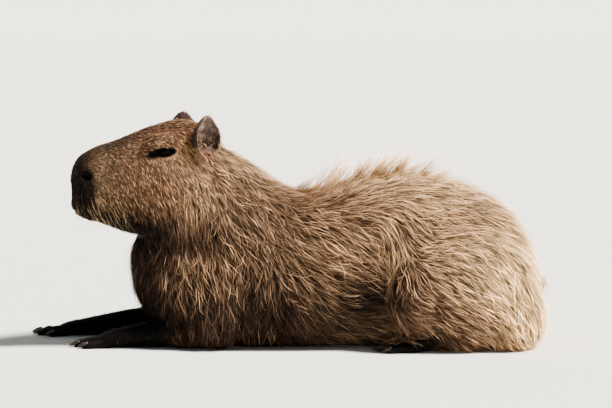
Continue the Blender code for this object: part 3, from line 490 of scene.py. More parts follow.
def smooth_eyes(body):
    """Blends the lids into the skin round them."""
    centres = [np.array(eye_place(sign).translation) for sign in SIDES.values()]
    points = np.empty(len(body.data.vertices) * 3)
    body.data.vertices.foreach_get("co", points)
    points = points.reshape(-1, 3)
    group = body.vertex_groups.new(name="eyes")
    for centre in centres:
        away = np.linalg.norm(points - centre, axis=1)
        for index in np.nonzero(away < 0.034)[0]:
            group.add([int(index)], 1.0, "REPLACE")
    smooth = body.modifiers.new("smooth", "SMOOTH")
    smooth.factor = 0.5
    smooth.iterations = 3
    smooth.vertex_group = "eyes"
    applied(body)
    body.vertex_groups.clear()


def cut_mouth(body):
    """Presses the line between the lips into the front of the muzzle."""
    tree = surface_of(body)
    line = eased(MOUTH, 6)
    halves = []
    for sign in (-1, 1):
        half = []
        for forward, up in line[3:]:
            hit = tree.ray_cast(head_point(forward, sign * 0.2, up), head_turn(0, -sign, 0))[0]
            if hit is not None:
                half.append(np.array(hit))
        halves.append(half)
    front = tree.ray_cast(head_point(0.4, 0, MOUTH[0][1]), head_turn(-1, 0, 0))[0]
    path = np.array(halves[0][::-1] + [np.array(front)] + halves[1])
    count = len(body.data.vertices)
    points = np.empty(count * 3)
    normals = np.empty(count * 3)
    body.data.vertices.foreach_get("co", points)
    body.data.vertices.foreach_get("normal", normals)
    points, normals = points.reshape(-1, 3), normals.reshape(-1, 3)
    near = np.full(count, 9.0)
    for a, b in zip(path, path[1:]):
        share = np.clip(((points - a) @ (b - a)) / max((b - a) @ (b - a), 1e-12), 0, 1)
        near = np.minimum(near, np.linalg.norm(points - a - share[:, None] * (b - a), axis=1))
    depth = 0.0030 * np.exp(-((near / 0.0030) ** 2)) - 0.0012 * np.exp(-(((near - 0.008) / 0.004) ** 2))
    points -= normals * depth[:, None]
    body.data.vertices.foreach_set("co", points.ravel())
    body.data.update()


def floor_cut(obj):
    bm = bmesh.new()
    bmesh.ops.create_cube(bm, size=1.0)
    place = Matrix.Translation((0, 0, -REACH / 2)) @ Matrix.Diagonal((4, 4, REACH, 1))
    bmesh.ops.transform(bm, matrix=place, verts=bm.verts)
    return boolean(obj, object_of("below", bm), "DIFFERENCE")


def build_skin():
    pieces = [trunk(), skull()]
    for sign in SIDES.values():
        for (x, y, z), radii, turn in MUSCLES:
            place = Matrix.Translation((x, sign * y, z))
            place = place @ Matrix.Rotation(math.radians(turn), 4, "Y")
            pieces.append(ellipsoid("muscle", place, radii))
        for (forward, side, up), radii in FACE:
            pieces.append(ellipsoid("pad", head_matrix(forward, sign * side, up), radii))
    pieces.append(ellipsoid("tail", Matrix.Translation(TAIL_ROOT), TAIL_RADII))
    body = fused("skin", pieces, BODY_VOXEL, 16)
    cut_mouth(body)
    cut_face(body)
    tips = {}
    for side, sign in SIDES.items():
        fore = (
            PAW_REACH[side], ARM_SPREAD[side], sign, FOREARM, FORE_TOES, FORE_TOE_LENGTH,
            ARM_THICK[side],
        )
        hind = (HIND_TIP, HIND_SPREAD, sign, HIND_FOOT, HIND_TOES, HIND_TOE_LENGTH, 1.0)
        for kind, sizes in (("fore", fore), ("hind", hind)):
            limb, tips[kind, side] = foot(*sizes)
            boolean(body, limb, "UNION")
        shell = ear_shape(side, sign)
        EAR_TREES[side] = surface_of(shell)
        boolean(body, shell, "UNION")
    floor_cut(body)
    body.data.shade_smooth()
    return body, tips


def values_of(obj, kind):
    """Places ("co") or normals ("normal") of an object's points, one row each."""
    values = np.empty(len(obj.data.vertices) * 3)
    obj.data.vertices.foreach_get(kind, values)
    return values.reshape(-1, 3)


def ramp(value, start, end):
    """Rises smoothly from 0 at start to 1 at end."""
    share = np.clip((value - start) / (end - start), 0, 1)
    return share * share * (3 - 2 * share)


def unit(rows):
    return rows / np.maximum(np.linalg.norm(rows, axis=-1, keepdims=True), 1e-9)


def head_axes(points):
    """Forward, sideways and height of world points in the head's axes."""
    cos, sin = math.cos(HEAD_YAW), math.sin(HEAD_YAW)
    x, y = points[:, 0] - HEAD_X, points[:, 1] - HEAD_Y
    return -x * cos - y * sin, -x * sin + y * cos, points[:, 2]


def spot(a, b, centre, radii, turn=0.0):
    """A soft oval: 1 in its middle and about 0 outside."""
    cos, sin = math.cos(math.radians(turn)), math.sin(math.radians(turn))
    along = (a - centre[0]) * cos + (b - centre[1]) * sin
    across = (b - centre[1]) * cos - (a - centre[0]) * sin
    return np.exp(-(((along / radii[0]) ** 2 + (across / radii[1]) ** 2) ** 1.5))


def by_place(points, table, softness):
    """Blends a table's columns after x and z, by nearness in the side view."""
    away = (points[:, :1] - table[:, 0]) ** 2 + (points[:, 2:3] - table[:, 1]) ** 2
    weight = 1 / (away + softness**2) ** 2
    weight /= weight.sum(axis=1, keepdims=True)
    return weight @ table[:, 2:]


def lie_at(points, normals):
    """Which way the hair points along the skin."""
    angle = np.radians(LIE[:, 2])
    table = np.column_stack([LIE[:, :2], np.cos(angle), -np.sin(angle)])
    blend = by_place(points, table, LIE_SOFTNESS)
    along = np.column_stack([blend[:, 0], np.zeros(len(points)), blend[:, 1]])
    along -= normals * (along * normals).sum(axis=1, keepdims=True)
    return unit(along)


def marks_and_shade_at(points, normals):
    """How dark, pale and reddish each place is (the dark mark holds painted shade, the pale mark
    painted highlight), and how bare its skin is.
    """
    forward, side, up = head_axes(points)
    x, y, z = points.T
    on_head = ramp(forward, -0.05, 0.01) * ramp(z, 0.20, 0.25)
    body = 1 - on_head

    # The head's darker nose, muzzle and chin, and painted shade: on faces that look down, under the
    # jaw, on the forehead and on the front of the nose.
    dark_and_shade = on_head * ramp(forward, 0.215, 0.262) * 0.46
    dark_and_shade += on_head * ramp(normals[:, 2], 0.40, 0.85) * ramp(forward, 0.05, 0.15) * 0.26
    dark_and_shade += on_head * spot(forward, up, (0.245, 0.330), (0.020, 0.046)) * 0.40
    dark_and_shade += on_head * ramp(-normals[:, 2], 0.2, 0.8) * 0.40
    dark_and_shade += on_head * spot(forward, up, (0.09, 0.458), (0.10, 0.024), -12) * 0.32
    dark_and_shade += on_head * (1 - ramp(up, 0.245, 0.330)) * 0.74
    dark_and_shade += on_head * ramp(forward, 0.03, 0.12) * 0.12
    dark_and_shade += on_head * ramp(forward, 0.11, 0.20) * 0.27
    nostril = np.zeros(len(points))
    rim = np.zeros(len(points))
    for sign in SIDES.values():
        near = np.sqrt((forward - 0.2400) ** 2 + (side - sign * 0.036) ** 2 + (up - NOSTRIL[2]) ** 2)
        nostril = np.maximum(nostril, 1 - ramp(near, 0.009, 0.019))
        centre = np.array(eye_place(sign).translation)
        away = np.linalg.norm(points - centre, axis=1)
        eye_forward, eye_up = forward - EYE[0] - EYE_SLIT_AHEAD, up - EYE[2]
        cos, sin = math.cos(EYE_TILT), math.sin(EYE_TILT)
        along = eye_forward * cos - eye_up * sin
        across = eye_forward * sin + eye_up * cos
        oval = np.sqrt((along / 0.0240) ** 2 + ((across + 0.0010) / 0.0102) ** 2)
        rim = np.maximum(rim, (1 - ramp(oval, 0.90, 1.15)) * (away < 0.05))
        corner = spot(along, across, (0.023, -0.003), (0.013, 0.0095)) * (away < 0.05)
        rim = np.maximum(rim, np.clip(corner * 1.3, 0, 1))
    dark_and_shade = np.maximum(dark_and_shade, nostril)
    dark_and_shade = np.maximum(dark_and_shade, rim)

    # Painted shade on the body: in the hollow before the thigh and the crease at its front edge, low
    # along the belly, on the chest and throat, on the lower side of the forequarters, and over the
    # front half.
    dark_and_shade += body * spot(x, z, (0.110, 0.125), (0.085, 0.078), 25) * 0.66
    dark_and_shade += body * spot(x, z, (0.165, 0.150), (0.020, 0.060), 8) * 0.22
    dark_and_shade += body * spot(x, z, (-0.20, 0.050), (0.27, 0.110)) * 0.66
    dark_and_shade += body * spot(x, z, (-0.385, 0.190), (0.09, 0.15)) * 0.60
    dark_and_shade += body * spot(x, z, (-0.33, 0.240), (0.09, 0.05)) * 0.30
    dark_and_shade += body * spot(x, z, (-0.10, 0.190), (0.17, 0.09), -40) * 0.30
    dark_and_shade += body * (1 - ramp(x, -0.20, 0.10)) * 0.10
    leg = 1 - ramp(x, -0.335, -0.275)
    leg *= 1 - ramp(z, 0.055, 0.095)
    dark_and_shade = np.maximum(dark_and_shade, leg)
    hind_foot = ramp(np.abs(y), 0.150, 0.175) * (1 - ramp(z, 0.03, 0.06)) * (1 - ramp(x, 0.23, 0.29))
    dark_and_shade = np.maximum(dark_and_shade, 0.9 * hind_foot)

    # Paler hair, and painted highlight where the key light falls on the nape, the top of the back, the
    # thigh and the rump.
    pale_and_highlight = body * spot(x, z, (-0.185, 0.405), (0.11, 0.040), -32) * 0.28
    pale_and_highlight += body * spot(x, z, (0.475, 0.12), (0.12, 0.26), 12) * 0.80
    pale_and_highlight += body * spot(x, z, (0.24, 0.365), (0.26, 0.060), -6) * 0.45
    pale_and_highlight += body * spot(x, z, (0.31, 0.180), (0.13, 0.080), -35) * 0.42
    pale_and_highlight += body * spot(x, z, (0.17, 0.300), (0.10, 0.050)) * 0.15
    pale_and_highlight += on_head * spot(forward, up, (0.205, 0.275), (0.035, 0.020)) * 0.12
    pale_and_highlight += on_head * spot(forward, up, (0.216, 0.365), (0.022, 0.040)) * 0.16
    warm = on_head * spot(forward, up, (0.040, 0.415), (0.045, 0.026)) * 0.32
    warm += on_head * ramp(normals[:, 2], 0.3, 0.8) * (1 - ramp(forward, 0.10, 0.18)) * 0.25
    warm += on_head * spot(forward, up, (0.115, 0.330), (0.07, 0.05)) * 0.20
    pale_and_highlight += on_head * spot(forward, up, (0.035, 0.385), (0.045, 0.040)) * 0.22
    warm += body * spot(x, z, (-0.06, 0.320), (0.07, 0.04)) * 0.15
    warm += body * spot(x, z, (0.47, 0.03), (0.10, 0.06)) * 0.30
    return np.clip(np.column_stack([dark_and_shade, pale_and_highlight, warm]), 0, 1), rim, leg, hind_foot, nostril


def paint(mesh, name, columns):
    """Stores up to four numbers for each point of a mesh."""
    rows = np.ones((len(mesh.vertices), 4), np.float32)
    rows[:, : columns.shape[1]] = columns
    layer = mesh.attributes.new(name, "FLOAT_COLOR", "POINT")
    layer.data.foreach_set("color", rows.ravel())


def ear_share(points, normals):
    """How much each place belongs to an ear, to the inside of its cup, and to the cup's bottom."""
    most, inner, bottom = np.zeros((3, len(points)))
    for side, sign in SIDES.items():
        root, up, opens, _ = (np.array(row) for row in ear_axes(side, sign))
        height = (points - root) @ up
        radial = points - root - height[:, None] * up
        share = np.zeros(len(points))
        for index in np.flatnonzero((height > 0) & (np.linalg.norm(radial, axis=1) < 0.06)):
            away = EAR_TREES[side].find_nearest(points[index], EAR_NEAR)[3]
            share[index] = 0 if away is None else 1 - away / EAR_NEAR
        share = ramp(share, 0.2, 0.6) * ramp(height, 0.006, 0.016)
        radial = unit(radial - opens * (0.25 * EAR_RADIUS))
        facing = ramp(-(normals * radial).sum(axis=1), -0.15, 0.35)
        deep = 1.1 * np.exp(-(((height - 0.024) / 0.020) ** 2)) + 0.32 * waves(points, 9, 0.012, 1.0)
        inner = np.where(share > most, facing, inner)
        bottom = np.where(share > most, np.clip(deep, 0, 1) * facing, bottom)
        most = np.maximum(most, share)
    return most, inner, bottom


class Patches:
    """An unwrap of the skin's shape, which gives each tuft's place on the map."""

    def __init__(self, skin):
        rough = bpy.data.objects.new("unwrap", skin.data.copy())
        bpy.context.scene.collection.objects.link(rough)
        decimate = rough.modifiers.new("decimate", "DECIMATE")
        decimate.ratio = 0.05
        decimate.use_collapse_triangulate = True
        applied(rough)
        bpy.context.view_layer.objects.active = rough
        rough.select_set(True)
        bpy.ops.object.mode_set(mode="EDIT")
        bpy.ops.mesh.select_all(action="SELECT")
        bpy.ops.uv.smart_project(angle_limit=math.radians(60), island_margin=0.004)
        bpy.ops.object.mode_set(mode="OBJECT")
        mesh = rough.data
        flat = np.empty(len(mesh.loops) * 2)
        mesh.uv_layers.active.data.foreach_get("uv", flat)
        corners = np.empty(len(mesh.loops), int)
        mesh.loops.foreach_get("vertex_index", corners)
        self.uv = flat.reshape(-1, 3, 2)
        self.corners = values_of(rough, "co")[corners].reshape(-1, 3, 3)
        self.tree = BVHTree.FromObject(rough, bpy.context.evaluated_depsgraph_get())
        remove(rough)

    def places(self, points):
        found = [self.tree.find_nearest(point) for point in points.tolist()]
        faces = np.array([hit[2] for hit in found])
        spots = np.array([hit[0][:] for hit in found])
        a, b, c = self.corners[faces].transpose(1, 0, 2)
        whole = np.cross(b - a, c - a)
        size = np.maximum((whole * whole).sum(axis=1), 1e-18)
        share_b = (np.cross(spots - a, c - a) * whole).sum(axis=1) / size
        share_c = (np.cross(b - a, spots - a) * whole).sum(axis=1) / size
        shares = np.clip(np.column_stack([1 - share_b - share_c, share_b, share_c]), 0, 1)
        shares /= shares.sum(axis=1, keepdims=True)
        return (self.uv[faces] * shares[:, :, None]).sum(axis=1)


PATCH = 0.003
# Stations of a tuft after its root, and its width at each but the tip.
LONG_TUFT = ((0.30, 0.66, 1.0), (0.75, 1.0, 0.72))
SHORT_TUFT = ((0.50, 1.0), (0.85, 0.95))


def tuft_piece(name, paths, ups, widths, flat, columns, marks_and_shade, uv):
    """One mesh of closed three-sided tapered tufts.

    paths holds the stations of each tuft to its tip, ups which way its ridge faces, widths its
    width at each station but the tip, and columns its tone and other numbers.
    """
    count, stations = paths.shape[:2]
    tangents = unit(np.gradient(paths, axis=1))
    across = unit(np.cross(tangents, ups))
    ridge = unit(np.cross(across, tangents))
    rings = stations - 1
    half = widths[:, :, None] / 2
    deep = half * flat
    low = paths[:, :rings] - ridge[:, :rings] * deep * 0.5
    corners = np.stack(
        [
            low + across[:, :rings] * half,
            paths[:, :rings] + ridge[:, :rings] * deep,
            low - across[:, :rings] * half,
        ],
        axis=2,
    ).reshape(count, rings * 3, 3)
    points = np.concatenate([corners, paths[:, -1:]], axis=1)
    per = rings * 3 + 1
    faces = [(0, 2, 1)]
    for ring in range(rings - 1):
        for k in range(3):
            a, b = ring * 3 + k, ring * 3 + (k + 1) % 3
            faces += [(a, b, b + 3), (a, b + 3, a + 3)]
    for k in range(3):
        faces.append(((rings - 1) * 3 + k, (rings - 1) * 3 + (k + 1) % 3, rings * 3))
    faces = np.array(faces)
    first = points[0][faces]
    volume = (np.cross(first[:, 1] - first[:, 0], first[:, 2] - first[:, 0]) * first[:, 0]).sum()
    if volume < 0:
        faces = faces[:, ::-1]
    every = (faces[None] + per * np.arange(count)[:, None, None]).reshape(-1, 3)
    mesh = bpy.data.meshes.new(name)
    mesh.vertices.add(count * per)
    mesh.vertices.foreach_set("co", points.ravel())
    mesh.loops.add(every.size)
    mesh.loops.foreach_set("vertex_index", every.ravel())
    mesh.polygons.add(len(every))
    mesh.polygons.foreach_set("loop_start", np.arange(len(every)) * 3)
    mesh.update(calc_edges=True)
    along = np.append(np.repeat(np.arange(rings) / rings, 3), 1.0)
    tuft = np.empty((count, per, 4))
    tuft[:, :, 0] = along
    tuft[:, :, 1:] = columns[:, None, :]
    paint(mesh, "tuft", tuft.reshape(-1, 4))
    paint(mesh, "marks_and_shade", np.repeat(marks_and_shade, per, axis=0))
    offset = np.column_stack([along - 0.5, np.append(np.tile([0.0, 0.5, 1.0], rings), 0.5) - 0.5])
    flat_uv = (uv[:, None, :] + offset[None] * PATCH).reshape(-1, 2)[every.ravel()]
    mesh.uv_layers.new(name="OFBake").data.foreach_set("uv", flat_uv.ravel())
    mesh.shade_smooth()
    made = bpy.data.objects.new(name, mesh)
    bpy.context.scene.collection.objects.link(made)
    return made


def tuft_pieces(name, number, paths, ups, widths, flat, columns, marks_and_shade, uv):
    """Deals the tufts out over several pieces, so that each piece covers the whole skin."""
    made = []
    for k in range(number):
        pick = slice(k, None, number)
        made.append(
            tuft_piece(
                f"{name}_{k + 1}", paths[pick], ups[pick], widths[pick], flat,
                columns[pick], marks_and_shade[pick], uv[pick],
            )
        )
    return made


class Skin:
    """The skin's triangles, for spreading roots over it and following it."""

    def __init__(self, obj):
        mesh = obj.data
        mesh.calc_loop_triangles()
        tris = np.empty(len(mesh.loop_triangles) * 3, int)
        mesh.loop_triangles.foreach_get("vertices", tris)
        self.tris = tris.reshape(-1, 3)
        self.points = values_of(obj, "co")
        self.normals = values_of(obj, "normal")
        a, b, c = self.points[self.tris].transpose(1, 0, 2)
        self.areas = np.linalg.norm(np.cross(b - a, c - a), axis=1) / 2
        self.middles = (a + b + c) / 3
        self.tree = BVHTree.FromObject(obj, bpy.context.evaluated_depsgraph_get())

    def spread(self, draw, count, density):
        """Roots at random, where density holds each triangle's share per area."""
        chance = self.areas * density
        picks = draw.choice(len(self.tris), count, p=chance / chance.sum())
        shares = draw.dirichlet((1.0, 1.0, 1.0), count)[:, :, None]
        points = (self.points[self.tris[picks]] * shares).sum(axis=1)
        normals = unit((self.normals[self.tris[picks]] * shares).sum(axis=1))
        return points, normals

    def nearest(self, points):
        found = [self.tree.find_nearest(point)[:2] for point in points.tolist()]
        return np.array([hit[0][:] for hit in found]), np.array([hit[1][:] for hit in found])


def waves(points, seed, size, strength):
    """A smooth field that turns the lie a little from place to place."""
    draw = np.random.default_rng(seed)
    total = np.zeros(len(points))
    for _ in range(6):
        way = unit(draw.normal(size=3)) * 2 * math.pi / (size * draw.uniform(0.6, 1.7))
        total += np.sin(points @ way + draw.uniform(0, 2 * math.pi))
    return total * strength / 6**0.5


def turned(along, normals, angle):
    """Turns directions about the normals."""
    across = np.cross(normals, along)
    return along * np.cos(angle)[:, None] + across * np.sin(angle)[:, None]


def clumps(draw, points, spacing_count):
    """For each root, the nearest of some roots taken as the middles of clumps."""
    from mathutils.kdtree import KDTree

    seeds = draw.choice(len(points), spacing_count, replace=False)
    tree = KDTree(len(seeds))
    for k, index in enumerate(seeds):
        tree.insert(points[index], k)
    tree.balance()
    mine = np.array([tree.find(point)[1] for point in points.tolist()])
    return mine, points[seeds][mine]


def open_skin(points, normals):
    """Where fur can grow: not on ears, soles, toes, rims of eyes, nostrils or under the belly."""
    marks_and_shade, rim, leg, hind_foot, nostril = marks_and_shade_at(points, normals)
    x, y, z = points.T
    keep = (ear_share(points, normals)[0] < 0.5) & (rim < 0.30) & (nostril < 0.6)
    keep &= ~((z < 0.02) & (normals[:, 2] < -0.75)) & (z > 0.0015)
    keep &= ~((x < np.where(y < 0, -0.450, -0.540)) & (z < 0.08)) & (hind_foot < 0.5)
    return keep


def body_coat(skin, draw, count, low, high, stations, widest):
    """The long coat: flat tapered tufts that follow the skin, gathered in clumps.

    low and high bound how far up in the coat its tufts lie, from 0 on the skin to 1 on top.
    """
    middles = skin.middles
    forward, side, up = head_axes(middles)
    on_head = ramp(forward, -0.02, 0.05) * (middles[:, 2] > 0.22)
    density = (1 - on_head) * np.where(middles[:, 2] < 0.004, 0.0, 1.0)
    points, normals = skin.spread(draw, count, density)
    keep = open_skin(points, normals)
    points, normals = points[keep], normals[keep]
    count = len(points)
    mine, centres = clumps(draw, points, count // 6)
    number = mine.max() + 1
    lean = draw.normal(0, 0.15, number)[mine]
    clump_tone = draw.normal(0, 0.12, number)[mine]
    clump_long = draw.uniform(0.82, 1.18, number)[mine]
    clump_lift = draw.uniform(0.5, 1.3, number)[mine]
    layer = draw.uniform(low, high, count)
    stray = (draw.uniform(0, 1, count) < 0.16) & (layer > 0.5)
    length = by_place(points, HAIR, 0.05)[:, 0] * clump_long * draw.uniform(0.75, 1.2, count)
    length *= np.where(stray, 1.15, 1.0)
    leg = marks_and_shade_at(points, normals)[2]
    length *= 1 - 0.78 * leg
    tail = np.linalg.norm(points - np.array(TAIL_ROOT), axis=1)
    length *= 0.45 + 0.55 * ramp(tail, 0.020, 0.045)
    low = 1 - 0.45 * ramp(points[:, 2], 0.28, 0.34)
    stand = 0.0125 * (0.25 + 0.75 * layer) * clump_lift * (1 - 0.75 * leg) * low
    stand = np.where(stray, stand * 1.7 + 0.003, stand)
    field = waves(points, 3, 0.12, 0.16) + waves(points, 4, 0.045, 0.10)
    front = 1 - ramp(points[:, 0], -0.12, 0.06)
    angle = field + lean + draw.normal(0, 0.09, count) * (1 + front)
    curl = draw.normal(0, 0.16, count) * (1 + 1.2 * front)
    curl += np.where(stray, draw.normal(0, 0.40, count), 0)
    fringe = spot(points[:, 0], points[:, 2], (0.176, 0.170), (0.022, 0.075), 4)
    curl += fringe * draw.normal(0, 0.55, count)
    gather = draw.uniform(0.03, 0.30, count)
    offset = centres - points

    path, ups = [points - normals * 0.0015], [normals]
    base, normal = points, normals
    last = 0.0
    for share in stations:
        along = turned(lie_at(base, normal), normal, angle + curl * share**2)
        step = base + along * (length * (share - last))[:, None]
        last = share
        base, normal = skin.nearest(step)
        height = stand * share**0.75
        pull = offset - normal * (offset * normal).sum(axis=1, keepdims=True)
        path.append(base + normal * height[:, None] + pull * (gather * share**1.2)[:, None])
        ups.append(normal)
    path, ups = np.stack(path, axis=1), np.stack(ups, axis=1)
    path[:, :, 2] = np.maximum(path[:, :, 2], 0.0012)
    width = draw.uniform(0.0006, 0.00115, count) * np.where(stray, 0.75, 1.0)
    width *= 0.6 + 0.4 * np.clip(length / 0.04, 0, 1)
    widths = width[:, None] * np.array([widest])
    # Tufts deeper in the coat are darker: painted shade within the coat, over a random tone.
    tone = np.exp(draw.normal(0, 0.42, count) * (1 + 0.35 * front) + clump_tone) * (0.12 + 1.14 * ramp(layer, 0.42, 0.84))
    tone = np.where(stray, np.maximum(tone, 0.8) * 1.25, tone)
    # Over the crease in front of the thigh, the top hairs get painted light and the hairs below them
    # painted shade.
    tone *= 1 + 0.35 * fringe * (layer > 0.75) - 0.35 * fringe * (layer < 0.65)
    marks_and_shade = lit_some(marks_and_shade_at(points, normals)[0], draw)
    # Brighter tufts where the pale mark is: paler hair, and painted highlight on the nape, back and
    # rump.
    tone *= 1 + 0.60 * marks_and_shade[:, 1]
    columns = np.column_stack([tone, draw.uniform(0, 1, count), layer])
    return points, path, ups, widths, columns, marks_and_shade


def lit_some(marks_and_shade, draw):
    """Lets one hair in five stay light in the dark places, apart from the black ones: painted light on
    sunlit tips within the painted shade.
    """
    some = (draw.uniform(0, 1, len(marks_and_shade)) < 0.2) & (marks_and_shade[:, 0] < 0.75)
    marks_and_shade[:, 0] *= np.where(some, 0.55, draw.uniform(0.72, 1.12, len(marks_and_shade)))
    return marks_and_shade


def head_coat(skin, draw, count):
    """Short hair of the face, longer over the cheeks and under the jaw."""
    forward, side, up = head_axes(skin.middles)
    on_head = ramp(forward, -0.045, 0.02) * (skin.middles[:, 2] > 0.20)
    finer = 1 + 0.9 * ramp(forward, 0.13, 0.22)
    density = on_head * finer
    for sign in SIDES.values():
        eye = np.array(eye_place(sign).translation)
        density *= 1 + 1.2 * (np.linalg.norm(skin.middles - eye, axis=1) < 0.040)
    points, normals = skin.spread(draw, count, density)
    keep = open_skin(points, normals)
    points, normals = points[keep], normals[keep]
    forward, side, up = head_axes(points)
    count = len(points)
    mine, centres = clumps(draw, points, count // 9)
    number = mine.max() + 1
    layer = draw.uniform(0, 1, count)
    length = by_place(points, HAIR, 0.022)[:, 0] * draw.uniform(0.7, 1.25, count)
    length *= draw.uniform(0.85, 1.15, number)[mine]
    near = np.full(count, 9.0)
    for sign in SIDES.values():
        near = np.minimum(near, np.linalg.norm(points - np.array(eye_place(sign).translation), axis=1))
    length *= 0.62 + 0.38 * ramp(near, 0.018, 0.045)
    lips = ramp(forward, 0.15, 0.21) * (1 - ramp(up, 0.285, 0.320))
    length *= 1 - 0.45 * lips
    field = waves(points, 5, 0.06, 0.12)
    angle = field + draw.normal(0, 0.13, number)[mine] + draw.normal(0, 0.10, count)
    along = turned(lie_at(points, normals), normals, angle)
    rise = np.radians(9 + 17 * layer) * draw.uniform(0.7, 1.3, count)
    rise = np.where(length > 0.016, rise * 0.8, rise)
    rise *= 1 + 0.9 * spot(points[:, 0], points[:, 2], (-0.285, 0.460), (0.05, 0.03))
    offset = centres - points
    offset -= normals * (offset * normals).sum(axis=1, keepdims=True)
    gather = draw.uniform(0.08, 0.40, count)
    sag = draw.uniform(0.0, 0.35, count) * np.clip(length / 0.02, 0, 1)
    path, ups = [points - normals * 0.0008], [normals, normals, normals]
    for share in (0.55, 1.0):
        lift = np.sin(rise) * (1 - 0.45 * share)
        place = points + (along * np.cos(rise)[:, None] + normals * lift[:, None]) * (
            length * share
        )[:, None]
        place += offset * (gather * share)[:, None]
        place[:, 2] -= sag * length * share**2
        path.append(place)
    path, ups = np.stack(path, axis=1), np.stack(ups, axis=1)
    width = draw.uniform(0.0005, 0.0009, count) * (0.75 + 0.5 * np.clip(length / 0.03, 0, 1))
    widths = width[:, None] * np.array([[0.85, 0.95]])
    tone = np.exp(draw.normal(0, 0.38, count) + draw.normal(0, 0.12, number)[mine])
    # Tufts deeper in the coat are darker: painted shade within the coat.
    tone *= 0.15 + 1.12 * ramp(layer, 0.36, 0.82)
    columns = np.column_stack([tone, draw.uniform(0, 1, count), layer])
    return points, path, ups, widths, columns, lit_some(marks_and_shade_at(points, normals)[0], draw)


CREST_FROM = -0.060
CREST_TO = 0.255
CREST_SPREAD = 0.050


def standing_path(points, normals, along, length, stands, droop, stations):
    """Hair that leaves the skin at an angle and bends over towards its lie."""
    place = points - normals * 0.001
    path = [place]
    last = 0.0
    for share in stations:
        turn = stands * (1 - droop * share)
        way = along * np.cos(turn)[:, None] + normals * np.sin(turn)[:, None]
        place = place + way * (length * (share - last))[:, None]
        last = share
        path.append(place)
    return np.stack(path, axis=1)


def crest_coat(skin, draw, count):
    """Long thin hair that stands up along the back, in wisps."""
    wisps = 46
    wisp_x = draw.uniform(CREST_FROM, CREST_TO, wisps)
    wisp_y = draw.normal(0, CREST_SPREAD * 0.5, wisps)
    mine = draw.integers(0, wisps, count)
    x = wisp_x[mine] + draw.normal(0, 0.0045, count)
    y = wisp_y[mine] + draw.normal(0, 0.0045, count)
    starts = np.column_stack([x, y, np.full(count, REACH)])
    hits = [skin.tree.ray_cast(start, (0, 0, -1))[:2] for start in starts.tolist()]
    points = np.array([hit[0][:] for hit in hits])
    normals = np.array([hit[1][:] for hit in hits])
    along = turned(lie_at(points, normals), normals, draw.normal(0, 0.35, wisps)[mine])
    middle = 1 - np.abs(x - 0.06) / 0.22
    length = draw.uniform(0.060, 0.112, wisps)[mine] * draw.uniform(0.5, 1.05, count)
    length *= 0.65 + 0.35 * np.clip(middle, 0, 1)
    stands = np.radians(draw.uniform(42, 76, wisps)[mine] + draw.normal(0, 8, count))
    path = standing_path(points, normals, along, length, stands, 0.45, (0.35, 0.7, 1.0))
    tip = np.stack([path[np.flatnonzero(mine == k)[:1]].mean(axis=0) if (mine == k).any()
                    else path[0] for k in range(wisps)])
    shares = np.array([0.0, 0.12, 0.35, 0.62])[None, :, None]
    path = path + (tip[mine] - path) * shares * draw.uniform(0.1, 0.8, count)[:, None, None]
    ups = np.repeat(unit(along)[:, None, :], 4, axis=1)
    widths = draw.uniform(0.0006, 0.0010, count)[:, None] * np.array([[1.0, 0.85, 0.60]])
    columns = np.column_stack(
        [draw.uniform(1.1, 1.8, count), draw.uniform(0, 1, count), np.ones(count)]
    )
    marks_and_shade = marks_and_shade_at(points, normals)[0]
    marks_and_shade[:, 1] = 0.70
    marks_and_shade[:, 0] *= 0.2
    return points, path, ups, widths, columns, marks_and_shade


def edge_coat(skin, draw, count):
    """Single hairs that stand off the coat along the neck, back and rump."""
    middles = skin.middles
    density = ramp(middles[:, 2], 0.02, 0.08)
    forward = head_axes(middles)[0]
    density *= 1 - ramp(forward, 0.02, 0.09)
    points, normals = skin.spread(draw, count, density)
    keep = open_skin(points, normals)
    points, normals = points[keep], normals[keep]
    count = len(points)
    along = turned(lie_at(points, normals), normals, draw.normal(0, 0.25, count))
    length = by_place(points, HAIR, 0.05)[:, 0] * draw.uniform(0.8, 1.3, count)
    stands = np.radians(draw.uniform(18, 42, count))
    path = standing_path(points, normals, along, length, stands, 0.75, (0.4, 0.75, 1.0))
    path[:, :, 2] = np.maximum(path[:, :, 2], 0.001)
    ups = np.repeat(normals[:, None, :], 4, axis=1)
    widths = draw.uniform(0.0006, 0.0010, count)[:, None] * np.array([[1.0, 0.85, 0.55]])
    columns = np.column_stack(
        [draw.uniform(0.8, 1.4, count), draw.uniform(0, 1, count), np.ones(count)]
    )
    return points, path, ups, widths, columns, marks_and_shade_at(points, normals)[0]


def ear_fringe(skin, draw, count):
    """Sparse short hair over the ears."""
    middle_normals = unit(skin.normals[skin.tris].sum(axis=1))
    density = ear_share(skin.middles, middle_normals)[0]
    points, normals = skin.spread(draw, count, density + 1e-9)
    inner = ear_share(points, normals)[1]
    up = np.array([0.0, 0.0, 1.0]) + np.array(head_turn(-0.4, 0, 0))
    along = unit(up - normals * (normals @ up)[:, None])
    along = turned(along, normals, draw.normal(0, 0.25, len(points)))
    length = draw.uniform(0.004, 0.009, len(points))
    stands = np.radians(draw.uniform(8, 26, len(points)))
    path = standing_path(points, normals, along, length, stands, 0.3, (0.5, 1.0))
    ups = np.repeat(normals[:, None, :], 3, axis=1)
    widths = draw.uniform(0.0005, 0.0009, len(points))[:, None] * np.array([[1.0, 0.8]])
    tone = draw.uniform(0.5, 1.3, len(points))
    columns = np.column_stack([tone, draw.uniform(0, 1, len(points)), np.ones(len(points))])
    marks_and_shade = np.column_stack([0.62 - 0.35 * inner, 0.15 + 0.3 * inner, 0.10 * (1 - inner)])
    return points, path, ups, widths, columns, marks_and_shade


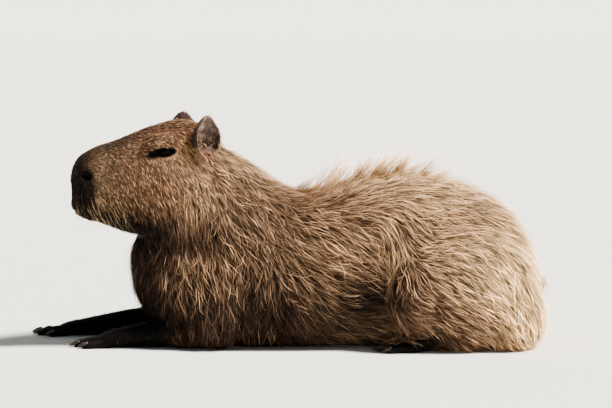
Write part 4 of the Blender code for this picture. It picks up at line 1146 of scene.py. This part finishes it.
def whiskers(skin, draw):
    """Pale bristles round the lips."""
    starts, ways, lengths = [], [], []
    for sign in SIDES.values():
        for _ in range(90):
            forward = draw.uniform(0.130, 0.248)
            up = draw.uniform(0.256, 0.330)
            turn = math.radians(draw.uniform(35, 90))
            start = head_point(
                forward + math.cos(turn) * REACH, sign * REACH * math.sin(turn), up
            )
            toward = head_turn(-math.cos(turn), -sign * math.sin(turn), 0)
            point, normal = skin.tree.ray_cast(start, toward)[:2]
            if point is None:
                continue
            starts.append((point[:], normal[:]))
            ways.append(head_turn(draw.uniform(-0.7, 0.0), sign * draw.uniform(0.0, 0.4), -1.0)[:])
            lengths.append(draw.uniform(0.022, 0.056))
    points = np.array([row[0] for row in starts])
    normals = np.array([row[1] for row in starts])
    ways = np.array(ways)
    along = unit(ways - normals * (ways * normals).sum(axis=1, keepdims=True))
    stands = np.radians(draw.uniform(8, 30, len(points)))
    length = np.array(lengths)
    path = standing_path(points, normals, along, length, stands, 0.95, (0.35, 0.7, 1.0))
    ups = np.repeat(normals[:, None, :], 4, axis=1)
    widths = np.full((len(points), 1), 0.00042) * np.array([[1.0, 0.85, 0.55]])
    columns = np.column_stack(
        [draw.uniform(0.8, 1.3, len(points)), draw.uniform(0, 1, len(points)), np.ones(len(points))]
    )
    marks_and_shade = np.tile([0.0, 0.8, 0.0], (len(points), 1))
    return points, path, ups, widths, columns, marks_and_shade


def colour(*srgb):
    """Linear colour of an sRGB one, each channel out of 255."""
    return tuple(
        (c / 255 / 12.92) if c <= 10 else ((c / 255 + 0.055) / 1.055) ** 2.4 for c in srgb
    ) + (1.0,)


GOLD = colour(222, 185, 148)
BROWN = colour(146, 112, 88)
DARK = colour(56, 42, 33)
PALE = colour(255, 223, 174)
REDDISH = colour(178, 118, 72)
BLACKISH = colour(11, 9, 8)
MAUVE = colour(120, 101, 98)
# Multiplier that makes the painted shade of the dark mark.
SHADED = (0.11, 0.10, 0.10, 1.0)


class Nodes:
    """Short ways to make and join shader nodes."""

    def __init__(self, name):
        self.material, self.nodes, self.links = material(name)
        self.shader = self.nodes["Principled BSDF"]

    def add(self, kind, inputs=(), **settings):
        node = self.nodes.new(kind)
        for key, value in settings.items():
            setattr(node, key, value)
        for key, value in dict(inputs).items():
            self.put(node, key, value)
        return node

    def put(self, node, key, value):
        if isinstance(value, bpy.types.NodeSocket):
            self.links.new(value, node.inputs[key])
        else:
            node.inputs[key].default_value = value

    def mix(self, share, first, second, how="MIX"):
        node = self.nodes.new("ShaderNodeMix")
        node.data_type = "RGBA"
        node.blend_type = how
        self.put(node, "Factor", share)
        colours = [socket for socket in node.inputs if socket.type == "RGBA"]
        for socket, value in zip(colours, (first, second)):
            if isinstance(value, bpy.types.NodeSocket):
                self.links.new(value, socket)
            else:
                socket.default_value = value
        return [socket for socket in node.outputs if socket.type == "RGBA"][0]

    def math(self, operation, first, second=0.0):
        node = self.add("ShaderNodeMath", operation=operation)
        self.put(node, 0, first)
        self.put(node, 1, second)
        return node.outputs[0]

    def ramp(self, value, low, high, to_low=0.0, to_high=1.0):
        node = self.add("ShaderNodeMapRange")
        for key, item in zip(("Value", "From Min", "From Max", "To Min", "To Max"),
                             (value, low, high, to_low, to_high)):
            self.put(node, key, item)
        return node.outputs[0]

    def stored(self, name):
        node = self.add("ShaderNodeAttribute", attribute_name=name)
        split = self.add("ShaderNodeSeparateColor", {"Color": node.outputs["Color"]})
        return [*split.outputs, node.outputs["Alpha"]]

    def noise(self, scale, detail=4.0, rough=0.6):
        where = self.add("ShaderNodeTexCoord").outputs["Object"]
        node = self.add(
            "ShaderNodeTexNoise",
            {"Vector": where, "Scale": scale, "Detail": detail, "Roughness": rough},
        )
        return node.outputs[0]

    def bump(self, height, strength, distance):
        node = self.add(
            "ShaderNodeBump", {"Strength": strength, "Distance": distance, "Height": height}
        )
        self.put(self.shader, "Normal", node.outputs[0])

    def marked_and_shaded(self, base):
        """The markings of the animal over a base colour, with painted shade (the colour times SHADED)
        from the dark mark and painted highlight from the pale mark.
        """
        dark_and_shade, pale_and_highlight, warm = self.stored("marks_and_shade")[:3]
        tinted = self.mix(warm, base, REDDISH)
        tinted = self.mix(self.math("MULTIPLY", pale_and_highlight, 0.9), tinted, PALE)
        # Painted shade: a darkened copy of the marked colour.
        shaded = self.mix(1.0, tinted, SHADED, "MULTIPLY")
        tinted = self.mix(self.ramp(dark_and_shade, 0.0, 0.75), tinted, shaded)
        return self.mix(self.ramp(dark_and_shade, 0.75, 1.0), tinted, BLACKISH)


def coat_material(name, gold=GOLD):
    made = Nodes(name)
    along, tone, hue, layer = made.stored("tuft")
    base = made.mix(made.ramp(hue, 0.15, 0.85), gold, BROWN)
    base = made.marked_and_shaded(base)
    streak = made.ramp(made.noise(420.0, 2.0), 0.3, 0.7, 0.82, 1.14)
    shade = made.math("MULTIPLY", made.ramp(along, 0.0, 0.8, 0.20, 1.10), tone)
    shade = made.math("MULTIPLY", shade, streak)
    grey = made.add("ShaderNodeCombineColor", {"Red": shade, "Green": shade, "Blue": shade})
    lit = made.mix(1.0, base, grey.outputs[0], "MULTIPLY")
    made.put(made.shader, "Base Color", lit)
    made.put(made.shader, "Roughness", made.ramp(along, 0.0, 1.0, 0.72, 0.50))
    made.shader.inputs["Specular IOR Level"].default_value = 0.22
    return made.material


def skin_material():
    """Under-fur, bare dark feet and nose, ears and rims of the eyes, from stored numbers."""
    made = Nodes("skin")
    bare, ear, rim, inner = made.stored("kinds")
    base = made.marked_and_shaded(BROWN)
    base = made.mix(0.45, base, DARK)
    grain = made.noise(260.0, 5.0)
    blotch = made.noise(28.0, 4.0)
    leather = made.mix(made.ramp(blotch, 0.35, 0.65), colour(8, 7, 7), colour(18, 15, 14))
    base = made.mix(bare, base, leather)
    cup = made.mix(made.ramp(blotch, 0.35, 0.65), MAUVE, colour(84, 68, 64))
    cup = made.mix(made.ramp(grain, 0.45, 0.70), cup, colour(158, 140, 134))
    # Painted shade at the bottom of the ear cup, from the dark mark.
    cup = made.mix(made.ramp(made.stored("marks_and_shade")[0], 0.0, 0.75), cup, colour(30, 22, 20))
    shell = made.mix(made.ramp(grain, 0.35, 0.65), colour(34, 26, 24), colour(66, 54, 50))
    base = made.mix(ear, base, made.mix(inner, shell, cup))
    base = made.mix(rim, base, colour(5, 4, 4))
    made.put(made.shader, "Base Color", base)
    rough = made.ramp(grain, 0.3, 0.7, 0.58, 0.82)
    made.put(made.shader, "Roughness", rough)
    made.shader.inputs["Specular IOR Level"].default_value = 0.12
    where = made.add("ShaderNodeTexCoord").outputs["Object"]
    cells = made.add("ShaderNodeTexVoronoi", {"Vector": where, "Scale": 330.0}, feature="F1")
    height = made.math("ADD", made.math("MULTIPLY", cells.outputs[0], 0.6), grain)
    made.bump(height, 0.45, 0.0008)
    return made.material


def eye_material():
    made = Nodes("eye")
    where = made.add("ShaderNodeTexCoord").outputs["Object"]
    cells = made.add("ShaderNodeTexNoise", {"Vector": where, "Scale": 160.0, "Detail": 3.0})
    tint = made.mix(made.ramp(cells.outputs[0], 0.4, 0.6), colour(6, 4, 4), colour(15, 10, 8))
    made.put(made.shader, "Base Color", tint)
    made.shader.inputs["Roughness"].default_value = 0.09
    made.shader.inputs["Specular IOR Level"].default_value = 0.06
    return made.material


def claw_material():
    made = Nodes("claw")
    where = made.add("ShaderNodeTexCoord").outputs["Object"]
    lines = made.add(
        "ShaderNodeTexNoise", {"Vector": where, "Scale": 300.0, "Detail": 3.0, "Roughness": 0.5}
    )
    tint = made.mix(made.ramp(lines.outputs[0], 0.35, 0.65), colour(26, 23, 21), colour(62, 54, 48))
    made.put(made.shader, "Base Color", tint)
    made.put(made.shader, "Roughness", made.ramp(lines.outputs[0], 0.3, 0.7, 0.34, 0.55))
    made.bump(lines.outputs[0], 0.3, 0.0004)
    return made.material


def floor_material():
    made = Nodes("floor")
    made.shader.inputs["Base Color"].default_value = colour(222, 220, 215)
    made.shader.inputs["Roughness"].default_value = 0.9
    return made.material


def use(obj, surface):
    obj.data.materials.clear()
    obj.data.materials.append(surface)
    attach(obj, "root")
    return obj


def stage_floor():
    """A pale sweep: floor, and a wall far behind that it curves up into."""
    bm = bmesh.new()
    profile = [(-14.0, 0.0), (9.0, 0.0)]
    profile += [
        (9.0 + 4.0 * math.sin(t), 4.0 - 4.0 * math.cos(t))
        for t in np.linspace(0.05, math.pi / 2, 14)
    ]
    profile.append((13.0, 14.0))
    rows = [[bm.verts.new((x, y, z - 0.0004)) for x in (-24.0, 24.0)] for y, z in profile]
    for first, second in zip(rows, rows[1:]):
        bm.faces.new((first[0], first[1], second[1], second[0]))
    sweep = object_of("floor", bm)
    sweep.data.shade_smooth()
    sweep.data.materials.append(floor_material())


def light(name, kind, place, aim, energy, size, tint=(1.0, 1.0, 1.0)):
    lamp = bpy.data.lights.new(name, kind)
    lamp.energy = energy
    lamp.color = tint
    if kind == "SUN":
        lamp.angle = size
    else:
        lamp.size = size
    made = bpy.data.objects.new(name, lamp)
    made.location = place
    made.rotation_euler = (Vector(aim) - Vector(place)).to_track_quat("-Z", "Y").to_euler()
    bpy.context.scene.collection.objects.link(made)


def studio():
    stage_floor()
    light("key", "SUN", (2.2, -0.45, 3.2), (0, 0, 0.0), 10.2, math.radians(10), (1.0, 0.96, 0.90))
    light("fill", "AREA", (2.4, -4.4, 1.4), (0, 0, 0.2), 26.0, 0.6, (0.90, 0.95, 1.0))
    world = bpy.data.worlds.new("studio")
    world.use_nodes = True
    sky = world.node_tree.nodes["Background"]
    sky.inputs["Color"].default_value = (0.84, 0.91, 1.0, 1.0)
    sky.inputs["Strength"].default_value = 0.24
    bpy.context.scene.world = world
    view = bpy.data.cameras.new("camera")
    view.lens = 200
    view.sensor_width = 36
    camera = bpy.data.objects.new("camera", view)
    camera.location = (-0.0294, -7.087, 1.158)
    camera.rotation_euler = (math.radians(83), 0, 0)
    bpy.context.scene.collection.objects.link(camera)
    bpy.context.scene.camera = camera
    bpy.context.scene.view_settings.look = "AgX - Medium High Contrast"


def main():
    skin_object, tips = build_skin()
    skin = Skin(skin_object)
    patches = Patches(skin_object)
    marks_and_shade, rim, leg, hind_foot, nostril = marks_and_shade_at(skin.points, skin.normals)
    ears, inner, hollow = ear_share(skin.points, skin.normals)
    # On the ears the dark mark becomes painted shade at the bottom of the cup.
    marks_and_shade[:, 0] += (0.75 * hollow - marks_and_shade[:, 0]) * ears
    bare = np.clip(np.maximum.reduce([leg, hind_foot, nostril]), 0, 1)
    kinds = np.column_stack([bare, ears, rim, inner])
    paint(skin_object.data, "marks_and_shade", marks_and_shade)
    paint(skin_object.data, "kinds", kinds)
    use(skin_object, skin_material())
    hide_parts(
        "head", "neck", "torso", "tail", "foreleg_left", "foreleg_right",
        "hind_leg_left", "hind_leg_right", "forefoot_left", "forefoot_right",
        "hindfoot_left", "hindfoot_right", "ear_left", "ear_right",
    )

    fur = coat_material("coat")
    draw = np.random.default_rng(SEED)
    coats = (
        ("under_coat", 2, 0.55, body_coat(skin, draw, 38000, 0.0, 0.62, *SHORT_TUFT)),
        ("coat", 4, 0.55, body_coat(skin, draw, 42000, 0.38, 1.0, *LONG_TUFT)),
        ("face_hair", 3, 0.6, head_coat(skin, draw, 46000)),
        ("crest", 1, 0.8, crest_coat(skin, draw, 1000)),
        ("guard_hair", 1, 0.8, edge_coat(skin, draw, 5500)),
        ("ear_hair", 1, 0.8, ear_fringe(skin, draw, 4500)),
        ("whiskers", 1, 0.9, whiskers(skin, draw)),
    )
    for name, number, flat, (points, path, ups, widths, columns, tuft_marks_and_shade) in coats:
        made = tuft_pieces(
            name, number, path, ups, widths, flat, columns, tuft_marks_and_shade, patches.places(points)
        )
        for piece in made:
            use(piece, fur)

    eye_surface, claw_surface = eye_material(), claw_material()
    for side, sign in SIDES.items():
        ball = ellipsoid(f"eyeball_{side}", eye_place(sign), (EYE_RADIUS,) * 3, 48)
        ball.data.shade_smooth()
        use(ball, eye_surface)
        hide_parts(f"eye_{side}")
        for kind in ("fore", "hind"):
            for number, tip in enumerate(tips[kind, side], 1):
                nail = claw(f"nail_{kind}_{side}_{number}", *tip)
                nail.data.shade_smooth()
                use(nail, claw_surface)
                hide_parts(f"claw_{kind}_{side}_{number}")
    studio()


main()
